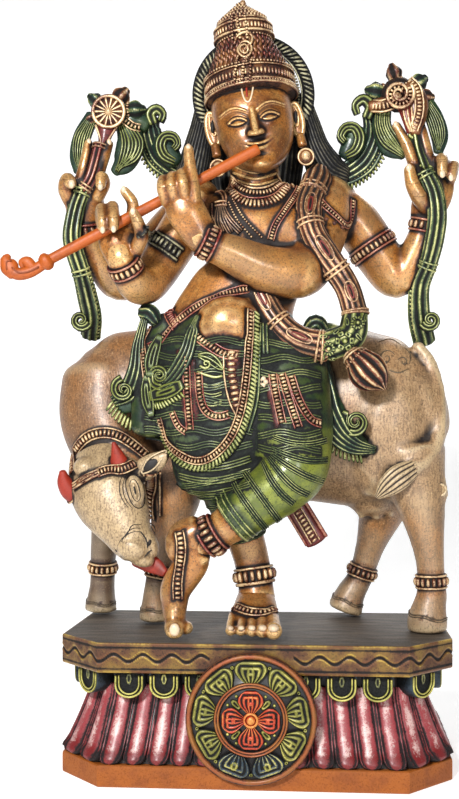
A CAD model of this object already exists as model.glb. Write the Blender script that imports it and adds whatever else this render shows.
import math

import bpy
import numpy as np
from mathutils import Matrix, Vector
from mathutils.bvhtree import BVHTree
from mathutils.kdtree import KDTree


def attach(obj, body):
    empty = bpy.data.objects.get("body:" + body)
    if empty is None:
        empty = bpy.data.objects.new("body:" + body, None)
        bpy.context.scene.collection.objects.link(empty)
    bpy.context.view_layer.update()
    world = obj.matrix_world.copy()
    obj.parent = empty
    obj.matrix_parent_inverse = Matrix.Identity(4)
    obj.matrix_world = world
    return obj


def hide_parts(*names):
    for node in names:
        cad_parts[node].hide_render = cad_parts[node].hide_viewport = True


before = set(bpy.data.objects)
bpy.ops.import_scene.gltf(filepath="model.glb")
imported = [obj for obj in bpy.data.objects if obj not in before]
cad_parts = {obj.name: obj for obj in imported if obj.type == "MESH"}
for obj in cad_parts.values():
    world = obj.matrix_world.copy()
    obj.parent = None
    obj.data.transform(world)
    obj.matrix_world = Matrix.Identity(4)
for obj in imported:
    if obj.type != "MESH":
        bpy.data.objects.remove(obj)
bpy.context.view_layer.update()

# The carving's look: a four-armed flute player with a cow on a lotus plinth, painted wood with
# black rubbed into the grooves and gold rubbed over the high places.
MM = 0.001

# Sizes shared with the solids, in millimetres.
PLINTH_WIDTH = 454
PLINTH_DEPTH = 227
PLINTH_CHAMFER = 53
PLINTH_HEIGHT = 162.6
TOP_SLAB_THICKNESS = 34
FOOT_THICKNESS = 25
NECK_INSET = 34
FIGURE_HEIGHT = 752
SEAT_CLEARANCE = 0.3
FIGURE_TURN = math.radians(3.9)

# The front drawing that the figure is laid out in: u across, v up, d towards the eye.
DRAWN_HEIGHT = 616.5
UNIT = FIGURE_HEIGHT / DRAWN_HEIGHT
EYE_DISTANCE = 1022
EYE_LEVEL = 195.5
SLAB_LEVEL = 13.6

# How finely the grown-together forms are meshed, in metres.
BODY_VOXEL = 0.0027
HAND_VOXEL = 0.0017
FOOT_VOXEL = 0.0021
CLOTH_VOXEL = 0.0026
COW_VOXEL = 0.004
COW_HEAD_VOXEL = 0.0019

# The dark wash. Beside what is laid on a surface: where it starts, how far it reaches and how
# deep it is. In a hollow: how far a facing wall counts, how closed the hollow is where the wash
# starts, and how fast it deepens.
WASH_START, WASH_REACH, WASH_DEPTH = 0.8, 5.5, 0.7
HOLLOW_REACH, HOLLOW_START, HOLLOW_WASH = 26.0, 0.06, 1.4
# How many easings tell a crest from what lies near, and from what lies broadly round it.
NEAR_EASINGS, BROAD_EASINGS = 5, 15


def unit(vectors):
    """The same ways, each one long."""
    return vectors / np.maximum(np.linalg.norm(vectors, axis=-1, keepdims=True), 1e-12)


def turned(vectors):
    """Vectors of the figure turned as it stands on its plinth."""
    x, y, z = np.moveaxis(np.asarray(vectors, float), -1, 0)
    c, s = math.cos(FIGURE_TURN), math.sin(FIGURE_TURN)
    return np.stack([x * c - y * s, x * s + y * c, z], -1)


def round_turn(count):
    """Angles once round, evenly apart."""
    return np.linspace(0, 2 * math.pi, count, endpoint=False)


def soft(value, low, high):
    """0 below low, 1 above high, and a soft climb between."""
    t = np.clip((value - low) / (high - low), 0, 1)
    return t * t * (3 - 2 * t)


def hill(value, width):
    """1 at the middle, falling away smoothly to both sides."""
    return np.exp(-(value / width) ** 2)


def nearness(d):
    """Metres to a drawing unit at a depth."""
    return (1 - d / EYE_DISTANCE) * UNIT * MM


def place(drawn):
    """World places, in metres, of drawing points [u, v, d]."""
    u, v, d = np.moveaxis(np.asarray(drawn, float)[..., :3], -1, 0)
    near = nearness(d)
    lift = (EYE_LEVEL - SLAB_LEVEL) * UNIT + PLINTH_HEIGHT + SEAT_CLEARANCE
    z = (v - EYE_LEVEL) * near + lift * MM
    return turned(np.stack([u * near, -d * UNIT * MM, z], -1))


def drawn(places):
    """The drawing's u, v and d of world places."""
    c, s = math.cos(FIGURE_TURN), math.sin(FIGURE_TURN)
    x = places[:, 0] * c + places[:, 1] * s
    d = (places[:, 0] * s - places[:, 1] * c) / (UNIT * MM)
    near = nearness(d)
    lift = (EYE_LEVEL - SLAB_LEVEL) * UNIT + PLINTH_HEIGHT + SEAT_CLEARANCE
    return x / near, (places[:, 2] - lift * MM) / near + EYE_LEVEL, d


TOWARDS_EYE = turned([0, -1, 0])
UPWARDS = np.array([0.0, 0.0, 1.0])
EYE = place([0, EYE_LEVEL, EYE_DISTANCE])


def spline(rows, step=3.0, closed=False):
    """Rows of numbers joined smoothly, about a step apart in the drawing."""
    rows = np.asarray(rows, float)
    if closed:
        padded = np.vstack([rows[-1:], rows, rows[:2]])
    else:
        padded = np.vstack([2 * rows[0] - rows[1], rows, 2 * rows[-1] - rows[-2]])
    parts = []
    for a, b, c, d in zip(padded, padded[1:], padded[2:], padded[3:]):
        count = max(1, round(float(np.linalg.norm((c - b)[:3])) / step))
        t = np.arange(count)[:, None] / count
        parts.append(b + 0.5 * ((c - a) * t + (2 * a - 5 * b + 4 * c - d) * t ** 2
                                + (3 * b - a - 3 * c + d) * t ** 3))
    if not closed:
        parts.append(rows[-1:])
    return np.vstack(parts)


class Path:
    """A line on the carving: its places, and the ways along, across and out at each."""

    def __init__(self, places, out, closed=False):
        self.places = np.asarray(places, float)
        self.closed = closed
        if closed:
            along = np.roll(self.places, -1, 0) - np.roll(self.places, 1, 0)
        else:
            along = np.gradient(self.places, axis=0)
        self.along = unit(along)
        self.across = unit(np.cross(self.along, np.broadcast_to(out, self.places.shape)))
        self.out = np.cross(self.across, self.along)

    def moved(self, across=0.0, out=0.0):
        """The same line shifted across and out by millimetres."""
        across = np.reshape(across, (-1, 1))
        out = np.reshape(out, (-1, 1))
        places = self.places + (self.across * across + self.out * out) * MM
        return Path(places, self.out, self.closed)

    def part(self, first, last):
        """The stretch between two shares of the line."""
        count = len(self.places)
        cut = slice(int(first * (count - 1)), int(last * (count - 1)) + 1)
        return Path(self.places[cut], self.out[cut])

    def even(self, pitch):
        """Places and ways at the middle of each of the equal pitches that fit the line."""
        places = np.vstack([self.places, self.places[:1]]) if self.closed else self.places
        steps = np.linalg.norm(np.diff(places, axis=0), axis=1)
        reach = np.concatenate([[0], np.cumsum(steps)])
        count = max(1, round(reach[-1] / (pitch * MM)))
        at = (np.arange(count) + 0.5) / count * reach[-1]

        def along(values):
            values = np.vstack([values, values[:1]]) if self.closed else values
            return np.stack([np.interp(at, reach, values[:, i]) for i in range(3)], -1)

        return along(self.places), unit(along(self.along)), unit(along(self.across)), \
            unit(along(self.out))


def line(points, on=None, lift=0.0, step=2.8, closed=False, depth=30, even=3):
    """A smooth line through drawing points, laid on a carved surface as the eye sees it, or
    free in the round where the points give their own depths."""
    drawn = spline(points, step, closed)
    if on is None:
        if drawn.shape[1] == 2:
            drawn = np.column_stack([drawn, np.full(len(drawn), depth)])
        return Path(place(drawn), TOWARDS_EYE, closed).moved(0, lift)
    places, ways = [], []
    for u, v in drawn[:, :2]:
        target = place([u, v, depth])
        ray = unit(target - EYE)
        spot, way, _, _ = on.ray_cast(Vector(EYE), Vector(ray))
        if spot is None:
            spot, way, _, _ = on.find_nearest(Vector(target))
        if np.dot(way, ray) > 0:
            way = -way
        places.append(spot)
        ways.append(way)
    places, ways = steadied(np.array(places), closed, even), steadied(np.array(ways), closed, even)
    return Path(places, unit(ways), closed).moved(0, lift)


def steadied(values, closed, times):
    """Values along a line with the jumps between neighbours eased."""
    for _ in range(times):
        if closed:
            values = (np.roll(values, 1, 0) + 2 * values + np.roll(values, -1, 0)) / 4
        else:
            padded = np.vstack([values[:1], values, values[-1:]])
            eased = (padded[:-2] + 2 * padded[1:-1] + padded[2:]) / 4
            values = np.vstack([values[:1], eased[1:-1], values[-1:]])
    return values


def full(stations):
    """Stations [u, v, d, half width, depth share] with the share filled in."""
    return [[*station, 1][:5] for station in stations]


def framed(stations, step, side):
    """Centres, halves, depths and ways along, across and out of a limb."""
    rows = spline(full(stations), step)
    centres = place(rows)
    half = rows[:, 3] * nearness(rows[:, 2])
    along = unit(np.gradient(centres, axis=0))
    across = unit(np.cross(along, side))
    return rows, centres, half, half * rows[:, 4], along, across, np.cross(across, along)


def hoop(stations, at, wider=0.0, on=None, steps=48):
    """A line round a limb at a place counted in stations, snapped to the carved surface."""
    rows, centres, half, deep, _, across, out = framed(stations, 1.5, TOWARDS_EYE)
    spots = np.array([np.argmin(np.abs(rows[:, :3] - np.array(s[:3])).sum(1)) for s in full(stations)])
    row = round(float(np.interp(at, np.arange(len(stations)), spots)))
    angle = np.arange(steps) / steps * 2 * math.pi
    ways = np.cos(angle)[:, None] * across[row] + np.sin(angle)[:, None] * out[row]
    reach = half[row] * deep[row] / np.hypot(deep[row] * np.cos(angle), half[row] * np.sin(angle))
    if on is not None:
        for i, way in enumerate(ways):
            start = centres[row] + way * reach[i] * 1.5
            spot, _, _, far = on.ray_cast(Vector(start), Vector(-way), float(reach[i]) * 1.1)
            if spot is not None:
                reach[i] = reach[i] * 1.5 - far
        reach = steadied(reach[:, None], True, 4)[:, 0]
    places = centres[row] + ways * (reach[:, None] + wider * MM)
    return Path(places, ways, True)


def spiral(centre, radius, turns, start, hand=1, tight=0.16, depth=None):
    """Drawing points that wind inwards round a centre from an angle in degrees."""
    count = max(8, int(14 * turns))
    t = np.linspace(0, 1, count)
    angle = math.radians(start) + hand * t * turns * 2 * math.pi
    reach = radius * (1 - (1 - tight) * t ** 0.85)
    points = [centre[0] + reach * np.cos(angle), centre[1] + reach * np.sin(angle)]
    if depth is not None:
        points.append(np.full(count, depth))
    return np.stack(points, -1)


def ball_grid(sides, rows, power=1.0):
    """Places of a round bead of unit radius, or a squarer one, and its faces."""
    rise = np.linspace(-math.pi / 2, math.pi / 2, rows + 1)[1:-1]
    angle = (np.arange(sides) + 0.5) / sides * 2 * math.pi
    ring = np.stack([np.cos(angle), np.sin(angle)], -1)
    ring = np.sign(ring) * np.abs(ring) ** power
    body = [np.column_stack([ring * math.cos(r), np.full(sides, math.sin(r))]) for r in rise]
    places = np.vstack([*body, [[0, 0, -1]], [[0, 0, 1]]])
    at = np.arange(len(rise) * sides).reshape(len(rise), sides)
    step = np.roll(at, -1, 1)
    quads = np.stack([at[:-1], step[:-1], step[1:], at[1:]], -1).reshape(-1, 4)
    low, high = np.full(sides, at.size), np.full(sides, at.size + 1)
    tris = np.vstack([np.stack([low, step[0], at[0]], -1), np.stack([high, at[-1], step[-1]], -1)])
    return places, quads, tris


BEAD = ball_grid(8, 4)
BAR = ball_grid(8, 4, 0.65)
FINE_BEAD = ball_grid(12, 7)
# Rings that round off an end, as shares of its length.
DOME = (0.35, 0.7, 0.94)


class Carving:
    """Forms that share one piece, gathered as places, faces, wear and tone. Wear runs from 0
    in a groove to 1 on a rubbed edge, and tone from 0 to 1 picks between two paints."""

    def __init__(self):
        self.places, self.quads, self.tris, self.wear, self.tone = [], [], [], [], []
        self.count = 0

    def add(self, places, quads, tris, wear, tone=0.0):
        total = len(places)
        self.places.append(places)
        self.quads.append(np.asarray(quads, int).reshape(-1, 4) + self.count)
        self.tris.append(np.asarray(tris, int).reshape(-1, 3) + self.count)
        self.wear.append(np.broadcast_to(np.asarray(wear, float), (total,)))
        self.tone.append(np.broadcast_to(np.asarray(tone, float), (total,)))
        self.count += total

    def sweep(self, rings, wear=0.6, ends=None, closed=False, tone=0.0):
        """A skin through rings of places, with a fan to a place at each end."""
        rows, sides = rings.shape[:2]
        at = np.arange(rows * sides).reshape(rows, sides)
        if closed:
            at = np.vstack([at, at[:1]])
        step = np.roll(at, -1, 1)
        quads = np.stack([at[:-1], at[1:], step[1:], step[:-1]], -1)
        places = [rings.reshape(-1, 3)]
        wear = np.broadcast_to(wear, (rows, sides)).ravel()
        tone = np.broadcast_to(tone, (rows, sides)).ravel()
        tris = []
        if ends is not None:
            places.append(np.asarray(ends))
            wear = np.concatenate([wear, [wear[:sides].mean(), wear[-sides:].mean()]])
            tone = np.concatenate([tone, [tone[:sides].mean(), tone[-sides:].mean()]])
            first, last = np.full(sides, rows * sides), np.full(sides, rows * sides + 1)
            tris = np.vstack([np.stack([first, at[0], step[0]], -1),
                              np.stack([last, step[-1], at[-1]], -1)])
        self.add(np.vstack(places), quads, tris, wear, tone)

    def limb(self, stations, sides=20, step=4.0, cap=0.45, side=TOWARDS_EYE, folds=0, rise=0.0,
             tone=0.0):
        """A rounded section carried along stations, closed by domes, with raised folds along
        it where a count of them is given."""
        rows, centres, half, deep, along, across, out = framed(stations, step, side)
        angle = (np.arange(sides) + 0.5) / sides * 2 * math.pi
        turn = np.broadcast_to(angle, (len(rows), sides))
        crest = 0.5 + 0.5 * np.cos(folds * turn) if folds else np.full(turn.shape, 0.5)
        swell = 1 + rise * (crest - 0.5) * 2
        rings = centres[:, None] + (half[:, None] * swell * np.cos(angle))[..., None] \
            * across[:, None] + (deep[:, None] * swell * np.sin(angle))[..., None] * out[:, None]
        wear = np.clip(0.08 + 0.9 * crest, 0, 1) if folds else np.full(turn.shape, 0.6)
        starts, finishes = [], []
        for share in DOME:
            small = math.sqrt(1 - share ** 2)
            starts.append(centres[0] + (rings[0] - centres[0]) * small
                          - along[0] * cap * half[0] * share)
            finishes.append(centres[-1] + (rings[-1] - centres[-1]) * small
                            + along[-1] * cap * half[-1] * share)
        rings = np.concatenate([np.array(starts[::-1]), rings, np.array(finishes)])
        wear = np.concatenate([np.repeat(wear[:1], len(DOME), 0), wear,
                               np.repeat(wear[-1:], len(DOME), 0)])
        ends = [centres[0] - along[0] * cap * half[0], centres[-1] + along[-1] * cap * half[-1]]
        self.sweep(rings, wear, ends, tone=tone)

    def ball(self, centre, radii, lean=0.0, wear=0.6, grid=FINE_BEAD):
        """A round form at a drawing place, with radii across, up and in depth."""
        places, quads, tris = grid
        near = nearness(centre[2])
        c, s = math.cos(math.radians(lean)), math.sin(math.radians(lean))
        across, up, deep = (places * np.array(radii)).T
        body = np.stack([across * c + up * s, -deep, -across * s + up * c], -1) * near
        self.add(turned(body) + place(centre), quads[:, ::-1], tris[:, ::-1], wear, 0.0)

    def cord(self, path, radius, wear=(0.15, 0.95), flat=1.0, tone=0.0, taper=None, sides=8):
        """A round cord along a line, dark at its foot and rubbed on top."""
        count = len(path.places)
        radius = np.full(count, float(radius))
        if taper is not None:
            radius = radius * np.interp(np.linspace(0, 1, count), np.linspace(0, 1, len(taper)), taper)
        angle = (np.arange(sides) + 0.5) / sides * 2 * math.pi
        rings = path.places[:, None] + (radius[:, None] * MM * np.cos(angle))[..., None] \
            * path.across[:, None] \
            + (radius[:, None] * MM * flat * np.sin(angle))[..., None] * path.out[:, None]
        rubbed = wear[0] + (wear[1] - wear[0]) * np.clip(0.5 + 0.6 * np.sin(angle), 0, 1)
        ends = None if path.closed else [path.places[0], path.places[-1]]
        self.sweep(rings, rubbed, ends, path.closed, tone)

    def ribbon(self, path, half, ridges=3, rise=1.0, thick=2.0, tone=0.0, both=False,
               shade=(0.05, 0.95)):
        """A band with raised lines along it. Its half width and rise may change along it."""
        count = len(path.places)
        share = np.linspace(0, 1, count)
        half = np.interp(share, np.linspace(0, 1, np.size(half)), np.atleast_1d(half))
        across = np.linspace(1, -1, 4 * ridges + 1)
        bump = np.sin(math.pi * ridges * (across + 1) / 2) ** 2
        grow = np.clip(half / half.max(), 0.25, 1)
        top = rise * bump * grow[:, None]
        shades = shade[0] + (shade[1] - shade[0]) * bump
        if both:
            foot = -thick - top[:, ::-1]
            spread = np.concatenate([across, across[::-1]])
            low_shade = shades[::-1]
        else:
            spread = np.concatenate([across, [-0.92, 0.92]])
            foot = np.full((count, 2), -thick)
            low_shade = np.zeros(2)
        heights = np.concatenate([top, foot], 1)
        rings = path.places[:, None] + (half[:, None] * MM * spread)[..., None] \
            * path.across[:, None] + (heights * MM)[..., None] * path.out[:, None]
        wear = np.concatenate([shades, low_shade])
        ends = None if path.closed else [path.places[0] - path.out[0] * thick * MM / 2,
                                         path.places[-1] - path.out[-1] * thick * MM / 2]
        self.sweep(rings, np.broadcast_to(wear, rings.shape[:2]), ends, path.closed, tone)

    def row(self, path, pitch, size, shape=BEAD, out=0.0, slant=0.0, tone=0.0, wear=(0.1, 1.0)):
        """Like forms set at equal pitches along a line: half sizes along, across and out."""
        spots, along, sideways, outward = path.even(pitch)
        lean = math.radians(slant)
        along, sideways = along * math.cos(lean) + sideways * math.sin(lean), \
            sideways * math.cos(lean) - along * math.sin(lean)
        spots = spots + outward * out * MM
        places, quads, tris = shape
        a, b, c = (places[None, :, :] * np.array(size) * MM).transpose(2, 0, 1)
        body = spots[:, None] + a[..., None] * along[:, None] - b[..., None] * sideways[:, None] \
            + c[..., None] * outward[:, None]
        rubbed = wear[0] + (wear[1] - wear[0]) * np.clip(places[:, 2] * 0.75 + 0.35, 0, 1)
        for one in body:
            self.add(one, quads, tris, rubbed, tone)

    def leaf(self, path, half, nested=2, rise=1.2, thick=2.0, tone=0.0, point=0.7, dish=0.0, root=1.0):
        """A rounded leaf along a line, its outline repeated inside it as raised rims. A root of
        0 leaves the rims open where the leaf starts."""
        count, rounds = len(path.places), 4 * nested + 1
        share = np.linspace(0, 1, count)
        half = np.interp(share, np.linspace(0, 1, np.size(half)), np.atleast_1d(half))
        across = np.linspace(1, -1, 2 * rounds + 1)
        edge = np.minimum(1 - np.abs(across)[None, :],
                          (np.minimum(share + 1 - root, 1 - share) * 4 * point)[:, None])
        edge = np.clip(edge, 0, 1)
        bump = np.sin(math.pi * nested * edge) ** 2
        heights = rise * bump + dish * edge
        rings = path.places[:, None] + (half[:, None] * MM * across)[..., None] \
            * path.across[:, None] + (heights * MM)[..., None] * path.out[:, None]
        foot = path.places[:, None] + (half[:, None] * MM * np.array([-0.9, 0.9]))[..., None] \
            * path.across[:, None] - (thick * MM) * path.out[:, None]
        rings = np.concatenate([rings, foot], 1)
        wear = np.concatenate([0.05 + 0.9 * bump, np.zeros((count, 2))], 1)
        ends = [path.places[0] - path.out[0] * thick * MM / 2,
                path.places[-1] - path.out[-1] * thick * MM / 2]
        self.sweep(rings, wear, ends, tone=tone)

    def mesh(self, name):
        mesh = bpy.data.meshes.new(name)
        faces = np.vstack(self.quads).tolist() + np.vstack(self.tris).tolist()
        mesh.from_pydata(np.vstack(self.places).tolist(), [], faces)
        mesh.shade_smooth()
        keep(mesh, "wear", np.concatenate(self.wear))
        keep(mesh, "tone", np.concatenate(self.tone))
        return mesh


def carvings(count):
    """As many empty carvings, one for each paint of a dress."""
    return [Carving() for _ in range(count)]


def shown(name, mesh, paint, node):
    """A piece of the statue in its paint, standing for a node of the solids."""
    piece = bpy.data.objects.new(name, mesh)
    bpy.context.scene.collection.objects.link(piece)
    mesh.materials.clear()
    mesh.materials.append(paint)
    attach(piece, "root")
    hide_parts(node)


def told_by(items, key, size, kind=float):
    """One kind of value of a mesh's items, a row for each."""
    values = np.empty(len(items) * size, kind)
    items.foreach_get(key, values)
    return values.reshape(-1, size)


def corners_of(mesh):
    return told_by(mesh.vertices, "co", 3)


def ways_of(mesh):
    return told_by(mesh.vertices, "normal", 3)


def wear_of(mesh):
    return told_by(mesh.attributes["wear"].data, "value", 1, np.float32)[:, 0]


def keep(mesh, key, values):
    """Keep a value at each corner of a mesh, for its paint."""
    if key in mesh.attributes:
        mesh.attributes.remove(mesh.attributes[key])
    attribute = mesh.attributes.new(key, "FLOAT", "POINT")
    attribute.data.foreach_set("value", values.astype(np.float32))


def eased(places, edges, times):
    """Places drawn half way towards the middle of their neighbours, time after time."""
    total = len(places)
    count = np.bincount(edges.ravel(), minlength=total)[:, None]
    for _ in range(times):
        middle = np.stack([np.bincount(edges[:, 0], places[edges[:, 1], i], total)
                           + np.bincount(edges[:, 1], places[edges[:, 0], i], total)
                           for i in range(3)], -1) / np.maximum(count, 1)
        places = places + (middle - places) * 0.5
    return places


def grown(name, forms, voxel, soften=5, sharp=0.9, tone=None):
    """One skin over overlapping forms, softened, with its wear read from hollows and crests."""
    raw = forms.mesh(name + "_forms")
    piece = bpy.data.objects.new(name + "_forms", raw)
    bpy.context.scene.collection.objects.link(piece)
    modifier = piece.modifiers.new("one skin", "REMESH")
    modifier.mode = "VOXEL"
    modifier.voxel_size = voxel
    modifier.adaptivity = 0
    solid = piece.evaluated_get(bpy.context.evaluated_depsgraph_get())
    mesh = bpy.data.meshes.new_from_object(solid)
    bpy.data.objects.remove(piece)
    bpy.data.meshes.remove(raw)
    mesh.name = name
    edges = told_by(mesh.edges, "vertices", 2, int)
    places = eased(corners_of(mesh), edges, soften)
    mesh.vertices.foreach_set("co", places.ravel())
    mesh.update()
    ways = ways_of(mesh)
    far = eased(places, edges, NEAR_EASINGS)
    crest = ((places - far) * ways).sum(1) / (sharp * MM)
    broad = ((places - eased(far, edges, BROAD_EASINGS)) * ways).sum(1) / MM
    wear = np.clip(0.6 + 0.5 * crest + 0.07 * np.clip(broad - 0.3, -1.5, 1), 0, 1)
    tones = np.zeros(len(wear)) if tone is None else tone(*drawn(places))
    keep(mesh, "wear", wear)
    keep(mesh, "tone", tones)
    mesh.shade_smooth()
    return mesh


def tree_of_corners(meshes):
    """The corners of many pieces, to find how near they are."""
    places = np.vstack([corners_of(mesh)[::2] for mesh in meshes])
    tree = KDTree(len(places))
    for i, spot in enumerate(places):
        tree.insert(spot, i)
    tree.balance()
    return tree


def shade_near(mesh, tree):
    """Leave dark wash on a surface close to what is laid on it."""
    far = np.array([tree.find(spot)[2] for spot in corners_of(mesh)]) / MM
    wash = WASH_DEPTH * np.clip(1 - (far - WASH_START) / WASH_REACH, 0, 1) ** 1.5
    keep(mesh, "wear", np.clip(wear_of(mesh) - wash, 0, 1))


def wash_hollows(meshes, around):
    """Leave dark wash on a surface where others close it in, seen along a few fixed ways."""
    tree = tree_of(*around)
    reach = HOLLOW_REACH * MM
    ways = unit(np.array([(x, y, z) for x in (-1, 0, 1) for y in (-1, 0, 1) for z in (-1, 0, 1)
                          if abs(x) + abs(y) + abs(z) in (1, 3)]))
    for mesh in meshes:
        places, normals = corners_of(mesh), ways_of(mesh)
        leaning = normals @ ways.T
        closed = np.zeros(len(places))
        total = np.zeros(len(places))
        for way, lean in zip(ways, leaning.T):
            seen = np.nonzero(lean > 0.25)[0]
            total[seen] += lean[seen]
            toward = Vector(way)
            for i in seen:
                start = places[i] + normals[i] * 0.8 * MM
                far = tree.ray_cast(Vector(start), toward, reach)[3]
                if far is not None:
                    closed[i] += lean[i] * (1 - far / reach)
        closed /= np.maximum(total, 1e-6)
        wash = HOLLOW_WASH * np.clip(closed - HOLLOW_START, 0, 1)
        keep(mesh, "wear", np.clip(wear_of(mesh) - wash, 0, 1))


def tree_of(*meshes):
    """The surfaces of meshes, to lay ornament on."""
    places, faces, count = [], [], 0
    for mesh in meshes:
        own = corners_of(mesh)
        places.append(own)
        faces += [[count + i for i in face.vertices] for face in mesh.polygons]
        count += len(own)
    return BVHTree.FromPolygons(np.vstack(places).tolist(), faces)


class Wire:
    """A socket of a paint's nodes that takes part in sums."""

    def __init__(self, paint, end):
        self.paint = paint
        self.end = end

    def summed(self, kind, first, second):
        return self.paint.node("Math", {"operation": kind}, {0: first, 1: second})

    def __add__(self, other):
        return self.summed("ADD", self, other)

    def __radd__(self, other):
        return self.summed("ADD", other, self)

    def __sub__(self, other):
        return self.summed("SUBTRACT", self, other)

    def __rsub__(self, other):
        return self.summed("SUBTRACT", other, self)

    def __mul__(self, other):
        return self.summed("MULTIPLY", self, other)

    def __rmul__(self, other):
        return self.summed("MULTIPLY", other, self)


class Paint:
    """A material whose nodes are written as sums and mixes."""

    def __init__(self, name):
        self.material = bpy.data.materials.new(name)
        self.material.use_nodes = True
        self.tree = self.material.node_tree
        self.shader = self.tree.nodes["Principled BSDF"]
        self.spot = self.node("TexCoord", {}, {}, "Object")

    def node(self, kind, settings, values, outlet=0):
        """A node with its settings made first, then its sockets' values or links."""
        node = self.tree.nodes.new("ShaderNode" + kind)
        for key, value in settings.items():
            setattr(node, key, value)
        for key, value in values.items():
            self.feed(node.inputs[key], value)
        return Wire(self, node.outputs[outlet])

    def feed(self, socket, value):
        if isinstance(value, Wire):
            self.tree.links.new(value.end, socket)
        else:
            socket.default_value = value

    def told(self, name):
        """A value that the mesh keeps at each of its corners."""
        return self.node("Attribute", {"attribute_name": name}, {}, "Fac")

    def step(self, value, low, high):
        """The same soft climb in a paint."""
        values = {"Value": value, "From Min": low, "From Max": high}
        return self.node("MapRange", {"interpolation_type": "SMOOTHSTEP"}, values)

    def noise(self, scale, detail=2.0, roughness=0.5, spot=None):
        values = {"Vector": spot or self.spot, "Scale": scale, "Detail": detail, "Roughness": roughness}
        return self.node("TexNoise", {}, values)

    def stretched(self, scale):
        """The spot with each of its directions scaled, for strokes and grain."""
        return self.node("VectorMath", {"operation": "MULTIPLY"}, {0: self.spot, 1: scale})

    def mix(self, share, first, second):
        return self.node("Mix", {"data_type": "RGBA"}, {0: share, 6: first, 7: second}, 2)

    def bump(self, height, strength, distance):
        values = {"Height": height, "Strength": strength, "Distance": distance}
        self.feed(self.shader.inputs["Normal"], self.node("Bump", {}, values))

    def coat(self, colour, roughness, metallic=0.0, clear=0.0, clear_roughness=0.2):
        for key, value in (("Base Color", colour), ("Roughness", roughness), ("Metallic", metallic),
                           ("Coat Weight", clear), ("Coat Roughness", clear_roughness)):
            self.feed(self.shader.inputs[key], value)
        return self.material


def shade(red, green, blue):
    """A colour given as it looks on screen, 0 to 255, as the shader counts it."""
    def linear(level):
        level /= 255
        return level / 12.92 if level <= 0.04045 else ((level + 0.055) / 1.055) ** 2.4
    return (linear(red), linear(green), linear(blue), 1.0)


def carved_paint(name, groove, body, rubbed, other=None, patch=None, rub=0.9, speck=0.35,
                 rough=0.42, metal=0.2, clear=0.3, low=0.12, high=0.55):
    """Paint with dark wash left in the grooves and gold rubbed over the crests."""
    paint = Paint(name)
    wear = paint.told("wear")
    patches = paint.step(paint.noise(42, 3, 0.6), 0.38, 0.66)
    fine = paint.noise(460, 3, 0.7)
    colour = body
    if other is not None:
        colour = paint.mix(paint.told("tone"), colour, other)
    if patch is not None:
        colour = paint.mix(patches * 0.75, colour, patch)
    bare = wear + (fine - 0.5) * 0.9 + (patches - 0.5) * 0.22
    colour = paint.mix(paint.step(bare, 0.74, 1.04) * rub, colour, rubbed)
    colour = paint.mix(paint.step(fine, 0.5, 0.66) * speck, colour, groove)
    clean = paint.step(bare, low, high)
    colour = paint.mix(1 - clean, colour, groove)
    dull = paint.step(fine, 0.35, 0.7) * 0.22 + (rough + 0.35) - clean * 0.35 \
        - paint.step(wear, 0.5, 1.0) * 0.08
    paint.bump(fine * 0.6 + paint.noise(160, 2) * 0.8, 0.35, 0.0006)
    return paint.coat(colour, dull, metal, clean * clear)


def skin_paint():
    """Ochre and gold brown under a speckled dark glaze, polished on the round places."""
    paint = Paint("glazed_ochre")
    wear = paint.told("wear")
    broad = paint.noise(26, 4, 0.6)
    fine = paint.noise(430, 4, 0.75)
    colour = paint.mix(paint.step(broad, 0.35, 0.65), shade(172, 108, 44), shade(118, 66, 28))
    colour = paint.mix(paint.step(paint.noise(60, 3), 0.5, 0.75) * 0.5, colour, shade(190, 142, 76))
    bare = wear + (fine - 0.5) * 0.45
    colour = paint.mix(paint.step(bare, 0.56, 0.9) * 0.8, colour, shade(236, 194, 130))
    colour = paint.mix(paint.step(fine, 0.47, 0.62) * 0.7, colour, shade(54, 26, 12))
    colour = paint.mix((1 - paint.step(fine, 0.3, 0.44)) * 0.5, colour, shade(222, 182, 118))
    clean = paint.step(bare, 0.18, 0.6)
    colour = paint.mix(1 - clean, colour, shade(22, 11, 8))
    paint.bump(fine * 0.7 + paint.noise(150, 2), 0.3, 0.0006)
    dull = paint.step(fine, 0.4, 0.8) * 0.25 + 0.6 - clean * 0.3
    return paint.coat(colour, dull, 0.3, clean * 0.45, 0.22)


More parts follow.
